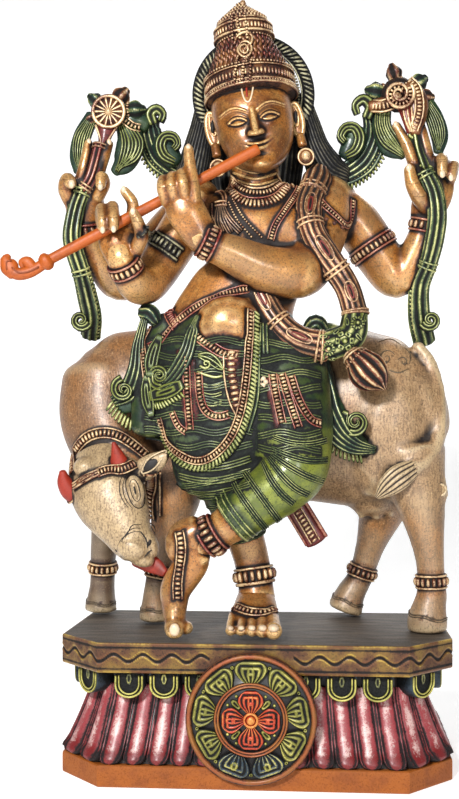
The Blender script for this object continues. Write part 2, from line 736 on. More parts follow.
def cow_paint():
    """Cream on the face, tan and gold on the body, grey brown on the chest, with combed hair."""
    paint = Paint("combed_hide")
    wear = paint.told("wear")
    fine = paint.noise(420, 4, 0.7)
    hair = paint.noise(210, 3, 0.6, paint.stretched((2.6, 1.0, 0.5)))
    tone = paint.told("tone")
    colour = paint.mix(paint.step(tone, 0.0, 0.5), shade(182, 156, 118), shade(142, 102, 66))
    colour = paint.mix(paint.step(tone, 0.5, 1.0), colour, shade(76, 54, 42))
    gold = paint.step(paint.noise(13, 3), 0.5, 0.7) * paint.step(tone, 0.1, 0.4)
    colour = paint.mix(gold * 0.7, colour, shade(172, 112, 52))
    colour = paint.mix(paint.step(paint.noise(20, 4, 0.6), 0.5, 0.72) * 0.55, colour, shade(96, 74, 58))
    colour = paint.mix(paint.step(hair, 0.46, 0.64) * 0.45, colour, shade(70, 46, 32))
    bare = wear + (fine - 0.5) * 0.45
    colour = paint.mix(paint.step(bare, 0.68, 1.0) * 0.5, colour, shade(222, 200, 160))
    colour = paint.mix(paint.step(fine, 0.49, 0.64) * 0.6, colour, shade(58, 40, 28))
    colour = paint.mix((1 - paint.step(fine, 0.3, 0.44)) * 0.4, colour, shade(222, 198, 154))
    clean = paint.step(bare, 0.14, 0.56)
    colour = paint.mix(1 - clean, colour, shade(26, 16, 12))
    paint.bump(hair * 1.4 + fine * 0.5, 0.45, 0.0007)
    dull = paint.step(fine, 0.4, 0.8) * 0.2 + 0.62 - clean * 0.2
    return paint.coat(colour, dull, 0.1, clean * 0.25, 0.3)


def slab_paint():
    """The dark, roughly chiselled top of the plinth."""
    paint = Paint("dark_chiselled")
    grain = paint.noise(60, 4, 0.6, paint.stretched((0.35, 1.6, 1.0)))
    fine = paint.noise(500, 3, 0.7)
    colour = paint.mix(paint.step(grain, 0.4, 0.68), shade(62, 54, 46), shade(92, 80, 68))
    colour = paint.mix(paint.step(fine, 0.5, 0.75) * 0.5, colour, shade(44, 40, 38))
    paint.bump(grain * 1.5 + fine * 0.4, 0.5, 0.0012)
    return paint.coat(colour, paint.step(fine, 0.3, 0.8) * 0.2 + 0.55)


def flat_paint(name, body, dark, rough=0.45, metal=0.0, clear=0.2, amount=0.5):
    """Even paint with a little wash and grain in it."""
    paint = Paint(name)
    fine = paint.noise(480, 3, 0.7)
    broad = paint.noise(50, 3, 0.6)
    wear = paint.told("wear")
    colour = paint.mix(paint.step(broad, 0.45, 0.8) * amount, body, dark)
    colour = paint.mix(paint.step(fine, 0.55, 0.78) * amount, colour, dark)
    colour = paint.mix(1 - paint.step(wear, 0.02, 0.45), colour, dark)
    paint.bump(fine * 0.5 + broad * 0.5, 0.25, 0.0005)
    return paint.coat(colour, paint.step(fine, 0.4, 0.8) * 0.15 + rough, metal, clear)


BLACK_WASH = shade(22, 15, 12)
GREEN_WASH = shade(8, 12, 10)
HAIR_WASH = shade(8, 8, 8)
SKIN = skin_paint()
HIDE = cow_paint()
GILT = carved_paint("rubbed_gilt", BLACK_WASH, shade(98, 46, 28), shade(236, 204, 156),
                    other=shade(122, 38, 32), patch=shade(140, 88, 38), metal=0.3, low=0.3,
                    high=0.72, speck=0.5)
RUBBED_RED = carved_paint("rubbed_red", BLACK_WASH, shade(112, 26, 22), shade(226, 168, 130),
                          patch=shade(84, 24, 20), rub=0.55, low=0.24, high=0.66, speck=0.45)
GREEN = carved_paint("rubbed_green", GREEN_WASH, shade(16, 54, 38), shade(206, 204, 132),
                     other=shade(104, 112, 36), patch=shade(52, 72, 34), rub=0.85, low=0.26,
                     high=0.7, speck=0.45)
CLOTH = carved_paint("green_cloth", GREEN_WASH, shade(20, 40, 26), shade(196, 196, 128),
                     other=shade(124, 132, 44), patch=shade(62, 78, 28), rub=0.6, speck=0.55,
                     low=0.14, high=0.54, rough=0.36, clear=0.32)
LINED = carved_paint("trouser_lines", GREEN_WASH, shade(60, 84, 30), shade(206, 204, 130),
                     rub=0.8, low=0.4, high=0.72, clear=0.15)
HAIR = carved_paint("rubbed_black", HAIR_WASH, shade(34, 33, 32), shade(200, 192, 150),
                    other=shade(110, 106, 78), rub=0.75, low=0.24, high=0.7)
STRANDS = carved_paint("black_strands", HAIR_WASH, shade(24, 23, 23), shade(132, 124, 96),
                       rub=0.5, low=0.34, high=0.84, rough=0.5, clear=0.05)
ROPE = carved_paint("rubbed_brown", BLACK_WASH, shade(112, 72, 44), shade(228, 192, 144),
                    other=shade(72, 66, 56), patch=shade(136, 74, 48), low=0.22, high=0.66)
RED = flat_paint("horn_red", shade(146, 40, 20), shade(84, 24, 14), 0.5, 0.0, 0.0, 0.8)
DULL_RED = flat_paint("dull_red", shade(112, 34, 26), shade(40, 14, 12), 0.45, 0.0, 0.1)
ORANGE = flat_paint("flute_orange", shade(170, 80, 14), shade(104, 40, 8), 0.5, 0.0, 0.0, 0.6)
PALE = flat_paint("pale_enamel", shade(214, 190, 158), shade(120, 80, 50), 0.4, 0.0, 0.3, 0.5)
PIT = flat_paint("black_pit", shade(20, 14, 12), shade(10, 8, 8), 0.6, 0.0, 0.0, 0.3)
TOP_PAINT = slab_paint()
EDGE = carved_paint("rubbed_ochre", BLACK_WASH, shade(98, 56, 24), shade(198, 164, 66),
                    patch=shade(124, 96, 30), rub=0.8, low=0.24, high=0.64, speck=0.55, clear=0.1)
FOOT = carved_paint("orange_brown", shade(60, 26, 8), shade(152, 80, 10), shade(188, 116, 40),
                    patch=shade(124, 60, 8), rub=0.5, speck=0.35, metal=0.0, low=0.05, high=0.4,
                    rough=0.62, clear=0.0)
RIM = carved_paint("orange_rim", BLACK_WASH, shade(150, 76, 34), shade(202, 134, 60),
                   patch=shade(124, 84, 28), rub=0.6, low=0.2, high=0.6, clear=0.1)
ROSE = carved_paint("rubbed_rose", shade(20, 8, 10), shade(146, 58, 62), shade(236, 204, 196),
                    other=shade(118, 24, 26), rub=0.8, speck=0.4, metal=0.0, low=0.22, high=0.56,
                    clear=0.1)
TONGUE = carved_paint("yellow_green", shade(8, 10, 8), shade(38, 54, 66), shade(204, 194, 104),
                      other=shade(112, 110, 36), rub=0.85, low=0.24, high=0.6, clear=0.1)
EMBER = carved_paint("rubbed_ember", BLACK_WASH, shade(176, 52, 22), shade(222, 158, 72), rub=0.7,
                     low=0.26, high=0.66, clear=0.1)
DARK_GROUND = flat_paint("dark_ground", shade(30, 22, 20), shade(12, 8, 8), 0.5, 0.0, 0.2, 0.6)


# The body: torso, neck, arms and legs, without the hands and feet.
TORSO = [[-4, 474, 12, 24, 0.95], [-3, 452, 8, 30, 0.8], [-2, 440, 8, 60, 0.46],
         [-2, 412, 14, 63, 0.54], [-2, 388, 14, 54, 0.6], [-4, 362, 16, 47, 0.68],
         [-16, 338, 20, 57, 0.6], [-22, 312, 22, 70, 0.52], [-22, 284, 24, 78, 0.46]]
NECK = [[-3, 448, 9, 26], [-4, 462, 12, 23], [-5, 480, 13, 22]]
LEFT_ARM = [[70, 438, 2, 24], [65, 416, 12, 26], [55, 388, 26, 26], [42, 368, 40, 26],
            [10, 370, 52, 24], [-26, 386, 64, 19], [-54, 398, 71, 15], [-62, 408, 75, 16, 0.8]]
RIGHT_ARM = [[-58, 438, 4, 24], [-80, 404, 8, 23], [-102, 370, 16, 22], [-114, 356, 30, 21],
             [-124, 358, 46, 19], [-136, 378, 62, 15], [-139, 390, 62, 16, 0.8]]
REAR_LEFT_ARM = [[76, 436, -10, 23], [98, 416, -14, 24], [120, 384, -16, 23], [136, 363, -14, 21],
                 [148, 368, -10, 18], [165, 408, -1, 14], [168, 424, 2, 15, 0.8]]
REAR_RIGHT_ARM = [[-60, 436, -10, 23], [-88, 410, -18, 22], [-116, 376, -22, 22], [-136, 360, -18, 21],
                  [-150, 368, -12, 18], [-172, 404, -1, 14], [-173, 418, 3, 15, 0.8]]
STANDING_LEG = [[-46, 280, 28, 44, 0.8], [-45, 230, 34, 40, 0.85], [-38, 180, 35, 31, 0.9],
                [-22, 128, 23, 21], [-8, 84, 14, 18], [-3, 56, 15, 17.5], [-2, 42, 18, 19]]
CROSSED_LEG = [[26, 285, 30, 41, 0.8], [28, 240, 40, 42, 0.8], [34, 202, 50, 42, 0.85],
               [35, 170, 61, 35, 0.95], [8, 144, 66, 26], [-26, 118, 65, 20.5],
               [-50, 102, 62, 17], [-62, 96, 60, 17]]


def body_forms():
    forms = Carving()
    forms.limb(TORSO, 32)
    forms.limb(NECK, 24)
    for arm in (LEFT_ARM, RIGHT_ARM, REAR_LEFT_ARM, REAR_RIGHT_ARM):
        forms.limb(arm, 28)
    for side, centre in ((1, [28, 410, 38]), (-1, [-34, 410, 36])):
        forms.ball(centre, [31, 25, 10], lean=side * 14)
    for centre in ([70, 440, 2], [-62, 438, 2]):
        forms.ball(centre, [26, 25, 22])
    forms.ball([-31, 315, 52], [34, 30, 28], lean=-12)
    forms.ball([40, 366, 44], [25, 25, 24])
    forms.limb(STANDING_LEG[3:], 28)
    forms.limb(CROSSED_LEG[4:], 28)
    return forms


# The hands, each a list of palm stations and of fingers, tip last.
LEFT_HAND = [
    [[-54, 398, 71, 15], [-60, 408, 76, 18, 0.62], [-72, 428, 80, 20, 0.55], [-79, 445, 80, 18, 0.5]],
    [[-92, 438, 80, 6.2], [-96, 452, 86, 6.2], [-95, 460, 78, 5.8], [-93, 452, 66, 5.4]],
    [[-83, 440, 83, 6.6], [-87, 454, 88, 6.6], [-86, 463, 80, 6.2], [-84, 456, 67, 5.6]],
    [[-73, 442, 84, 7], [-76, 457, 88, 6.8], [-76, 466, 80, 6.4], [-74, 458, 67, 5.8]],
    [[-64, 438, 82, 7.6], [-66, 458, 83, 6.8], [-69, 478, 80, 6], [-70, 491, 78, 5.2]],
]
RIGHT_HAND = [
    [[-136, 378, 62, 15], [-139, 392, 62, 19, 0.6], [-141, 403, 60, 20, 0.52], [-142, 412, 54, 16, 0.5]],
    [[-152, 404, 53, 6.6], [-157, 420, 57, 6.6], [-157, 431, 67, 6.4], [-156, 421, 80, 6],
     [-156, 412, 81, 5.2]],
    [[-141, 406, 53, 6.8], [-145, 422, 57, 6.8], [-146, 433, 67, 6.6], [-145, 422, 81, 6.2],
     [-145, 413, 82, 5.4]],
    [[-130, 405, 58, 7], [-127, 422, 61, 6.4], [-126, 437, 63, 6], [-134, 449, 64, 5]],
    [[-124, 388, 64, 8], [-117, 404, 73, 7.4], [-121, 418, 81, 6.4], [-125, 427, 83, 5.4]],
]
REAR_RIGHT_HAND = [
    [[-172, 404, 0, 14], [-174, 420, 4, 17, 0.62], [-174, 440, 8, 20, 0.52], [-172, 456, 11, 17, 0.5]],
    [[-164, 452, 13, 7.2], [-159, 470, 15, 6.4], [-154, 484, 16, 5.8], [-150, 496, 15, 5]],
    [[-179, 454, 12, 6.8], [-175, 472, 15, 5.8], [-172, 486, 15, 5.2], [-170, 497, 14, 4.4]],
    [[-161, 444, 14, 7.4], [-155, 456, 20, 7], [-157, 463, 27, 6.2], [-158, 455, 30, 5.4]],
    [[-184, 434, 10, 9], [-192, 450, 17, 8.6], [-191, 460, 23, 7.6], [-188, 457, 28, 6.4]],
]
REAR_LEFT_HAND = [
    [[166, 414, 0, 14], [170, 432, 4, 18, 0.6], [176, 448, 8, 19, 0.54], [180, 464, 9, 17, 0.5]],
    [[162, 460, 14, 7], [155, 478, 17, 6.4], [148, 496, 17, 5.8], [138, 514, 15, 4.8]],
    [[174, 468, 14, 6.8], [169, 486, 16, 6.2], [164, 506, 16, 5.6], [160, 521, 14, 4.8]],
    [[172, 430, 12, 9], [161, 443, 20, 8.6], [154, 456, 23, 7.4], [151, 470, 23, 6]],
    [[184, 468, 13, 7], [183, 480, 20, 6.8], [184, 478, 28, 6.2], [184, 468, 30, 5.6]],
    [[192, 462, 12, 6.4], [195, 474, 19, 6.2], [194, 471, 26, 5.6], [193, 464, 28, 5]],
]
STANDING_FOOT = [[-3, 46, 6, 17, 0.9], [-3, 36, 26, 21, 0.72], [-4, 24, 46, 24, 0.5],
                 [-5, 16, 57, 23, 0.34]]
CROSSED_FOOT = [[-58, 110, 62, 17.5], [-71, 97, 60, 23, 0.85], [-67, 78, 60, 18, 0.85],
                [-82, 52, 60, 16, 0.95], [-84, 34, 62, 13, 1.1], [-84, 18, 68, 10.5, 1.1]]
TOE_COUNT = 5


def hand_forms():
    forms = Carving()
    for palm, *fingers in (LEFT_HAND, RIGHT_HAND, REAR_RIGHT_HAND, REAR_LEFT_HAND):
        forms.limb(palm, 20, 3)
        for finger in fingers:
            forms.limb(finger, 12, 2, cap=0.9)
            for joint in finger[1:-1]:
                forms.ball(joint, [joint[3] * 1.07] * 3, grid=BEAD)
    return forms


def toes():
    """The standing foot's toes, the great toe on the viewer's right."""
    stations = []
    for i in range(TOE_COUNT):
        share = i / (TOE_COUNT - 1)
        u = -28 + 43 * share
        thick = 5.0 + 3.4 * share ** 2
        stations.append([[u * 0.86 - 1, 25, 44, thick], [u, 15, 62 + 10 * share, thick * 0.86],
                         [u, 9, 71 + 12 * share, thick]])
    return stations


def foot_forms():
    forms = Carving()
    forms.limb(STANDING_FOOT, 22, 3, side=UPWARDS)
    for toe in toes():
        forms.limb(toe, 12, 2, cap=0.9, side=UPWARDS)
        forms.ball(toe[-1], [toe[-1][3] * 1.12] * 3)
    forms.limb(CROSSED_FOOT, 24, 3)
    forms.ball([-84, 12, 73], [11, 11, 10])
    forms.ball([-84, 8, 78], [9.5, 7.5, 8])
    forms.ball([-72, 12, 66], [7, 7, 9])
    forms.limb([[-60, 82, 64, 12], [-54, 78, 66, 8]], 16, 3)
    return forms


# The cow's forms.
COW_BARREL = [[-176, 262, -46, 30, 1.2], [-158, 256, -46, 54, 0.8], [-110, 241, -45, 75, 0.65],
              [-30, 232, -40, 83, 0.6], [60, 225, -32, 87, 0.58], [112, 224, -26, 89, 0.6],
              [156, 234, -20, 70, 0.66], [178, 240, -18, 36, 1]]
COW_NECK = [[-152, 262, -42, 44], [-150, 218, -34, 47, 0.95], [-130, 162, -8, 38, 0.9]]
COW_FORE_LEG = [[-92, 206, -34, 46, 0.8], [-84, 146, -22, 28, 0.9], [-94, 96, -20, 15],
                [-102, 52, -20, 12.5], [-103, 38, -20, 14], [-103, 28, -20, 16], [-103, 20, -20, 17]]
COW_FAR_FORE_LEG = [[-134, 226, -48, 36, 0.7], [-140, 190, -50, 32, 0.8], [-144, 150, -56, 23],
                    [-154, 96, -70, 14], [-156, 60, -76, 12.5], [-157, 44, -77, 14],
                    [-158, 30, -78, 17]]
COW_HIND_LEG = [[150, 186, 6, 38, 0.9], [164, 128, 18, 23], [171, 84, 24, 15],
                [173, 50, 25, 14.5], [171, 34, 26, 17], [169, 22, 26, 20], [169, 10, 26, 20.5]]
COW_FAR_HIND_LEG = [[140, 232, -26, 44, 0.8], [140, 190, -36, 42, 0.8], [130, 150, -48, 30, 0.9],
                    [113, 98, -60, 15.5], [102, 64, -64, 13], [92, 46, -64, 15], [86, 30, -64, 18.5]]
COW_TAIL = [[158, 296, 2, 6], [172, 276, 8, 7], [180, 244, 12, 7.5], [180, 204, 22, 7.5],
            [166, 178, 34, 8], [152, 170, 38, 8.5]]
COW_HEAD = [[-160, 180, 6, 28, 0.8], [-155, 160, 20, 36, 0.8], [-148, 142, 30, 37, 0.8],
            [-139, 124, 38, 32, 0.82], [-131, 108, 45, 25, 0.88], [-125, 97, 48, 21.5, 0.92],
            [-121, 90, 50, 18, 0.95]]


def cow_forms():
    forms = Carving()
    forms.limb(COW_BARREL, 36, 5, cap=0.25)
    forms.ball([130, 212, 2], [47, 75, 35], lean=8)
    forms.ball([-128, 226, -30], [40, 60, 30], lean=-6)
    forms.limb(COW_NECK, 28, 5)
    for leg in (COW_FORE_LEG, COW_FAR_FORE_LEG, COW_HIND_LEG, COW_FAR_HIND_LEG):
        forms.limb(leg, 22, 4, cap=0.1)
    forms.ball([113, 137, -30], [24, 13, 17])
    for u, v in ((102, 126), (118, 124), (132, 128)):
        forms.limb([[u, v + 6, -28, 5], [u, v - 4, -27, 3.6]], 10, 2)
    forms.limb(COW_TAIL, 14, 3)
    forms.limb([[180, 158, 22, 9, 0.8], [183, 142, 20, 8, 0.7]], 14, 3)
    for (u, v, d), size in (([-103, 46, -30], 6), ([173, 46, 13], 6), ([184, 44, 25], 6)):
        forms.ball([u, v, d], [size, size * 1.4, size])
    return forms


def cow_head_forms():
    forms = Carving()
    forms.limb(COW_HEAD, 30, 3, cap=0.4)
    forms.ball([-126, 92, 58], [17, 14, 13], lean=20)
    forms.ball([-118, 82, 52], [15, 9, 12], lean=20)
    forms.ball([-109, 96, 52], [9, 15, 11], lean=-24)
    forms.ball([-123, 150, 52], [9, 16, 8], lean=-14)
    forms.limb([[-150, 158, 50, 11, 0.5], [-142, 132, 56, 9, 0.5], [-134, 110, 60, 8, 0.5]], 20, 3)
    forms.ball([-178, 148, 34], [10, 12, 10])
    forms.ball([-172, 172, 32], [14, 12, 16])
    forms.ball([-134, 172, 34], [16, 12, 14])
    forms.limb([[-124, 164, 32, 9], [-112, 171, 37, 11, 0.7], [-100, 179, 41, 9, 0.6],
                [-91, 186, 43, 3.4]], 18, 3)
    return forms


# Cloth: the skirt, and the parts of both legs that it covers.
SKIRT = [[-22, 318, 26, 60, 0.56], [-24, 286, 30, 78, 0.52], [-24, 258, 33, 83, 0.5],
         [-28, 228, 35, 79, 0.5], [-34, 198, 37, 66, 0.52], [-42, 170, 37, 47, 0.56],
         [-44, 158, 35, 40, 0.56]]
STANDING_CLOTH = [[-45, 240, 34, 44, 0.85], [-38, 182, 35, 35, 0.9], [-26, 140, 26, 26],
                  [-17, 116, 20, 23], [-14, 106, 18, 22.5]]
CROSSED_CLOTH = [[22, 300, 28, 36, 0.8], [27, 270, 33, 42, 0.8], [29, 240, 41, 44, 0.82],
                 [32, 204, 50, 43, 0.86], [34, 173, 61, 36.5, 0.95], [23, 156, 66, 31],
                 [8, 144, 67, 28.5], [-10, 131, 67, 26], [-27, 118, 66, 25]]
HIP_CLOTH = [[-84, 316, 22, 20, 0.7], [-104, 264, 32, 22, 0.6], [-110, 210, 38, 18, 0.5]]


def cloth_forms():
    forms = Carving()
    forms.limb(SKIRT, 36, 4)
    forms.limb(STANDING_CLOTH, 30, 4, cap=0.1)
    forms.limb(CROSSED_CLOTH, 30, 4, cap=0.12)
    forms.limb(HIP_CLOTH, 24, 4)
    forms.ball([56, 250, 22], [22, 50, 16], lean=-4)
    forms.ball([72, 306, 8], [15, 12, 13], lean=12)
    forms.ball([28, 290, 36], [34, 26, 24], lean=-14)
    return forms


def cloth_tone(u, v, d):
    """Yellow green on the crossed leg's trousers, down to the teal hem."""
    right = (u - 12) * 0.88 - (v - 215) * 0.476
    down = (36 - u) * 0.76 + (172 - v) * 0.65
    return soft(right, -2, 5) * soft(214 - v, 0, 6) * (1 - 0.9 * soft(down, 64, 72))


def cow_tone(u, v, d):
    """Tan, with grey brown on the chest, the far legs and the belly."""
    chest = soft(-40 - u, 0, 80) * soft(240 - v, 0, 80) * soft(v - 90, 0, 60)
    left = soft(-20 - u, 0, 120)
    low = soft(150 - v, 0, 80)
    return np.clip(0.26 + 0.26 * left + 0.35 * chest + 0.3 * low + 0.35 * soft(-45 - d, 0, 20), 0, 1)


# The head leans to the viewer's left, and the crown leans less.
HEAD_U, HEAD_V, HEAD_D = -4, 516, 20
HEAD_HALF = 41
HEAD_TALL = 50
HEAD_LEAN = math.radians(-11)
CROWN_LEAN = math.radians(-7)


def on_head(across, up, forward):
    """Drawing points of the head, in shares of its half width and half height."""
    a, b = np.asarray(across) * HEAD_HALF, np.asarray(up) * HEAD_TALL
    c, s = math.cos(HEAD_LEAN), math.sin(HEAD_LEAN)
    return np.stack(np.broadcast_arrays(HEAD_U + a * c + b * s, HEAD_V - a * s + b * c,
                                        HEAD_D + np.asarray(forward) * HEAD_HALF), -1)


# The face is a plain calm one: the eyes a third of the way down, the nose to half way between
# them and the chin, the mouth a third of the way below that.
EYE_UP, EYE_OUT, EYE_HALF = 0.1, 0.4, 0.23
NOSE_UP, MOUTH_UP, CHIN_UP = -0.22, -0.44, -0.82


def face_relief(x, y):
    """How far each feature stands out of the plain head."""
    side = np.abs(x)
    wide = np.clip((side - EYE_OUT) / EYE_HALF, -1, 1)
    lid = 1 - wide ** 2
    near_eye = soft(EYE_HALF + 0.03 - np.abs(side - EYE_OUT), 0, 0.05)
    upper = EYE_UP + 0.085 * lid
    lower = EYE_UP - 0.05 * lid
    relief = -0.06 * hill(side - EYE_OUT, 0.26) * hill(y - EYE_UP - 0.05, 0.14)
    relief += 0.12 * hill(side - EYE_OUT, 0.19) * hill(y - EYE_UP, 0.1)
    relief += 0.05 * hill(y - upper, 0.022) * near_eye
    relief += 0.018 * hill(y - upper - 0.06, 0.014) * near_eye
    relief += 0.036 * hill(y - lower, 0.018) * near_eye
    brow = EYE_UP + 0.17 + 0.12 * np.sin(np.clip((side - 0.1) / 0.7, 0, 1) * math.pi)
    on_brow = soft(side, 0.08, 0.16) * soft(0.86 - side, 0, 0.1)
    relief += (0.034 * hill(y - brow, 0.019) + 0.018 * hill(y - brow + 0.05, 0.012)) * on_brow
    down = np.clip((EYE_UP + 0.22 - y) / 0.5, 0, 1)
    foot = soft(y, NOSE_UP - 0.05, NOSE_UP + 0.03)
    relief += (0.03 + 0.27 * down ** 1.3) * hill(x, 0.07 + 0.06 * down) * foot \
        * soft(EYE_UP + 0.3 - y, 0, 0.1)
    relief += 0.15 * hill(side - 0.14, 0.065) * hill(y - NOSE_UP - 0.05, 0.06) * foot
    smile = MOUTH_UP + 0.05 * (x / 0.28) ** 2
    relief += 0.085 * hill(x, 0.19) * hill(y - smile - 0.05, 0.036)
    relief += 0.1 * hill(x, 0.16) * hill(y - smile + 0.055, 0.042)
    relief -= 0.05 * hill(x, 0.24) * hill(y - smile, 0.013)
    relief += 0.045 * hill(x, 0.3) * hill(y - MOUTH_UP, 0.16)
    relief -= 0.035 * hill(x, 0.2) * hill(y - MOUTH_UP + 0.17, 0.04)
    relief += 0.07 * hill(x, 0.2) * hill(y - CHIN_UP, 0.1)
    return relief + 0.05 * hill(side - 0.48, 0.26) * hill(y + 0.22, 0.24)


def head_mesh():
    columns, rows = 150, 112
    share = np.linspace(-1, 1, columns, endpoint=False)
    angle = math.pi * share * (0.45 + 0.55 * share ** 2)
    up = np.linspace(-1, 0.8, rows)
    levels = [-1.0, -0.96, -0.88, -0.78, -0.62, -0.45, -0.2, 0.1, 0.4, 0.6, 0.8]
    half = np.interp(up, levels, [0.1, 0.34, 0.5, 0.62, 0.76, 0.86, 0.94, 0.98, 0.98, 0.94, 0.8])
    front = np.interp(up, levels, [0.46, 0.7, 0.82, 0.85, 0.85, 0.87, 0.9, 0.92, 0.94, 0.9, 0.76])
    back = np.interp(up, levels, [0.0, 0.1, 0.2, 0.3, 0.5, 0.7, 0.86, 0.94, 0.95, 0.9, 0.7])
    half, front, back = (steadied(v[:, None], False, 30)[:, 0] for v in (half, front, back))
    sine, cosine = np.sin(angle), np.cos(angle)
    x = half[:, None] * np.sign(sine) * np.abs(sine) ** 0.92
    y = np.broadcast_to(up[:, None], x.shape)
    depth = np.where(cosine > 0, front[:, None], back[:, None])
    z = depth * np.sign(cosine) * np.abs(cosine) ** 0.85
    relief = face_relief(x, y) * soft(cosine, 0.05, 0.35)
    around = relief.copy()
    for _ in range(6):
        around = (np.roll(around, 1, 0) + np.roll(around, -1, 0) + np.roll(around, 1, 1)
                  + np.roll(around, -1, 1)) / 4
    wear = np.clip(0.6 + (relief - around) * 34, 0, 1)
    span = np.clip((np.abs(x) - EYE_OUT) / EYE_HALF, -1, 1)
    by_eye = soft(EYE_HALF + 0.02 - np.abs(np.abs(x) - EYE_OUT), 0, 0.05)
    wear = wear - 0.8 * hill(y - EYE_UP - 0.085 * (1 - span ** 2) + 0.045, 0.02) * by_eye
    wear = wear - 0.7 * hill(y - EYE_UP + 0.05 * (1 - span ** 2) + 0.035, 0.018) * by_eye
    wear = np.clip(wear, 0, 1)
    for side in (-1, 1):
        wear = wear * (1 - 0.95 * hill(x - side * 0.075, 0.035) * hill(y - NOSE_UP + 0.035, 0.02))
    rings = place(on_head(x, y, z + relief))
    head = Carving()
    ends = [place(on_head(0, -1.0, 0.2)), place(on_head(0, 0.82, 0.0))]
    head.sweep(rings[:, ::-1], wear[:, ::-1], ends)
    return head.mesh("head")


def head_dress(head):
    """Ears, earrings and the mark on the brow."""
    ears, gilt = carvings(2)
    pits, pale, red = carvings(3)
    for side, rise in ((-1, 0.08), (1, -0.04)):
        turn = round_turn(28)
        middle = side * 1.03
        loop = on_head(middle + 0.14 * np.cos(turn), rise - 0.04 + 0.34 * np.sin(turn),
                       -0.1 + 0.02 * np.cos(turn))
        ears.cord(Path(place(loop), TOWARDS_EYE, True), 2.8, (0.3, 0.85), 1.2, sides=12)
        inner = on_head(middle - side * 0.02 + 0.07 * np.cos(turn), rise + 0.04 + 0.2 * np.sin(turn),
                        np.full(28, -0.06))
        ears.cord(Path(place(inner), TOWARDS_EYE, True), 1.5, (0.2, 0.8), sides=10)
        ears.limb([[*on_head(middle, rise + 0.28, -0.12), 5, 0.5],
                   [*on_head(middle, rise, -0.12), 7, 0.4],
                   [*on_head(middle, rise - 0.3, -0.12), 5, 0.5]], 16, 2)
        ears.limb([[*on_head(side * 1.04, rise - 0.36, -0.08), 4.4],
                   [*on_head(side * 1.05, rise - 0.56, -0.02), 4.6]], 14, 2)
        pits.ball(on_head(middle - side * 0.01, rise + 0.02, -0.05), [2.4, 7, 2.6])
        drop = on_head(side * 1.08, rise - 0.8, 0.0)
        gilt.ball(drop, [8.6, 9, 6], wear=0.55)
        gilt.ball([drop[0], drop[1] + 1, drop[2] + 4], [4.6, 5, 4], wear=0.95)
        ring = Path(place([[drop[0] + 7.6 * math.cos(t), drop[1] + 8 * math.sin(t), drop[2] + 4]
                           for t in turn]), TOWARDS_EYE, True)
        gilt.cord(ring, 1.3)
    tree = tree_of(head)
    mark = [(-18, 557), (-16, 546), (-13, 539), (-10, 538), (-8, 541), (-6, 549), (-5, 558)]
    pale.ribbon(line(mark, tree, 0.3, 1.2, depth=58), 1.1, 1, 0.3, 0.6)
    red.ribbon(line([(-12, 558), (-12, 550), (-11.5, 543)], tree, 0.5, 1.2, depth=58), 1.2, 1, 0.3, 0.6)
    return ears, gilt, pits, pale, red


def on_crown(angle, reach, up):
    """World places on the crown, in shares of the head's half width and half height."""
    near = nearness(HEAD_D - 2)
    x = reach * HEAD_HALF * near * np.cos(angle)
    y = reach * HEAD_HALF * near * np.sin(angle) * 0.92
    z = np.asarray(up) * HEAD_TALL * near + 0 * x
    c, s = math.cos(CROWN_LEAN), math.sin(CROWN_LEAN)
    return place([HEAD_U, HEAD_V, HEAD_D - 2]) + turned(np.stack([x * c + z * s, y, z * c - x * s], -1))


BROW_LIFT = 0.1
CROWN_PROFILE = [(0.9, 0.4), (1.06, 0.46), (1.1, 0.5), (1.12, 0.56), (1.08, 0.61), (1.08, 0.84),
                 (1.04, 0.88), (1.05, 0.94), (0.96, 1.0), (0.9, 1.1), (0.82, 1.24), (0.73, 1.4),
                 (0.65, 1.54), (0.61, 1.61), (0.67, 1.65), (0.72, 1.69), (0.7, 1.73), (0.69, 1.86),
                 (0.72, 1.9), (0.65, 1.94), (0.6, 2.02), (0.52, 2.08), (0.43, 2.15), (0.34, 2.21),
                 (0.25, 2.27), (0.17, 2.33), (0.1, 2.39), (0.05, 2.43)]


def crown_ring(reach, up):
    angle = round_turn(60)
    front = np.clip(-np.sin(angle), 0, 1) * BROW_LIFT * max(0, 1.2 - up)
    places = on_crown(angle, reach, up + front)
    centre = on_crown(0.0, 0.0, up)
    return Path(places, unit(places - centre), True)


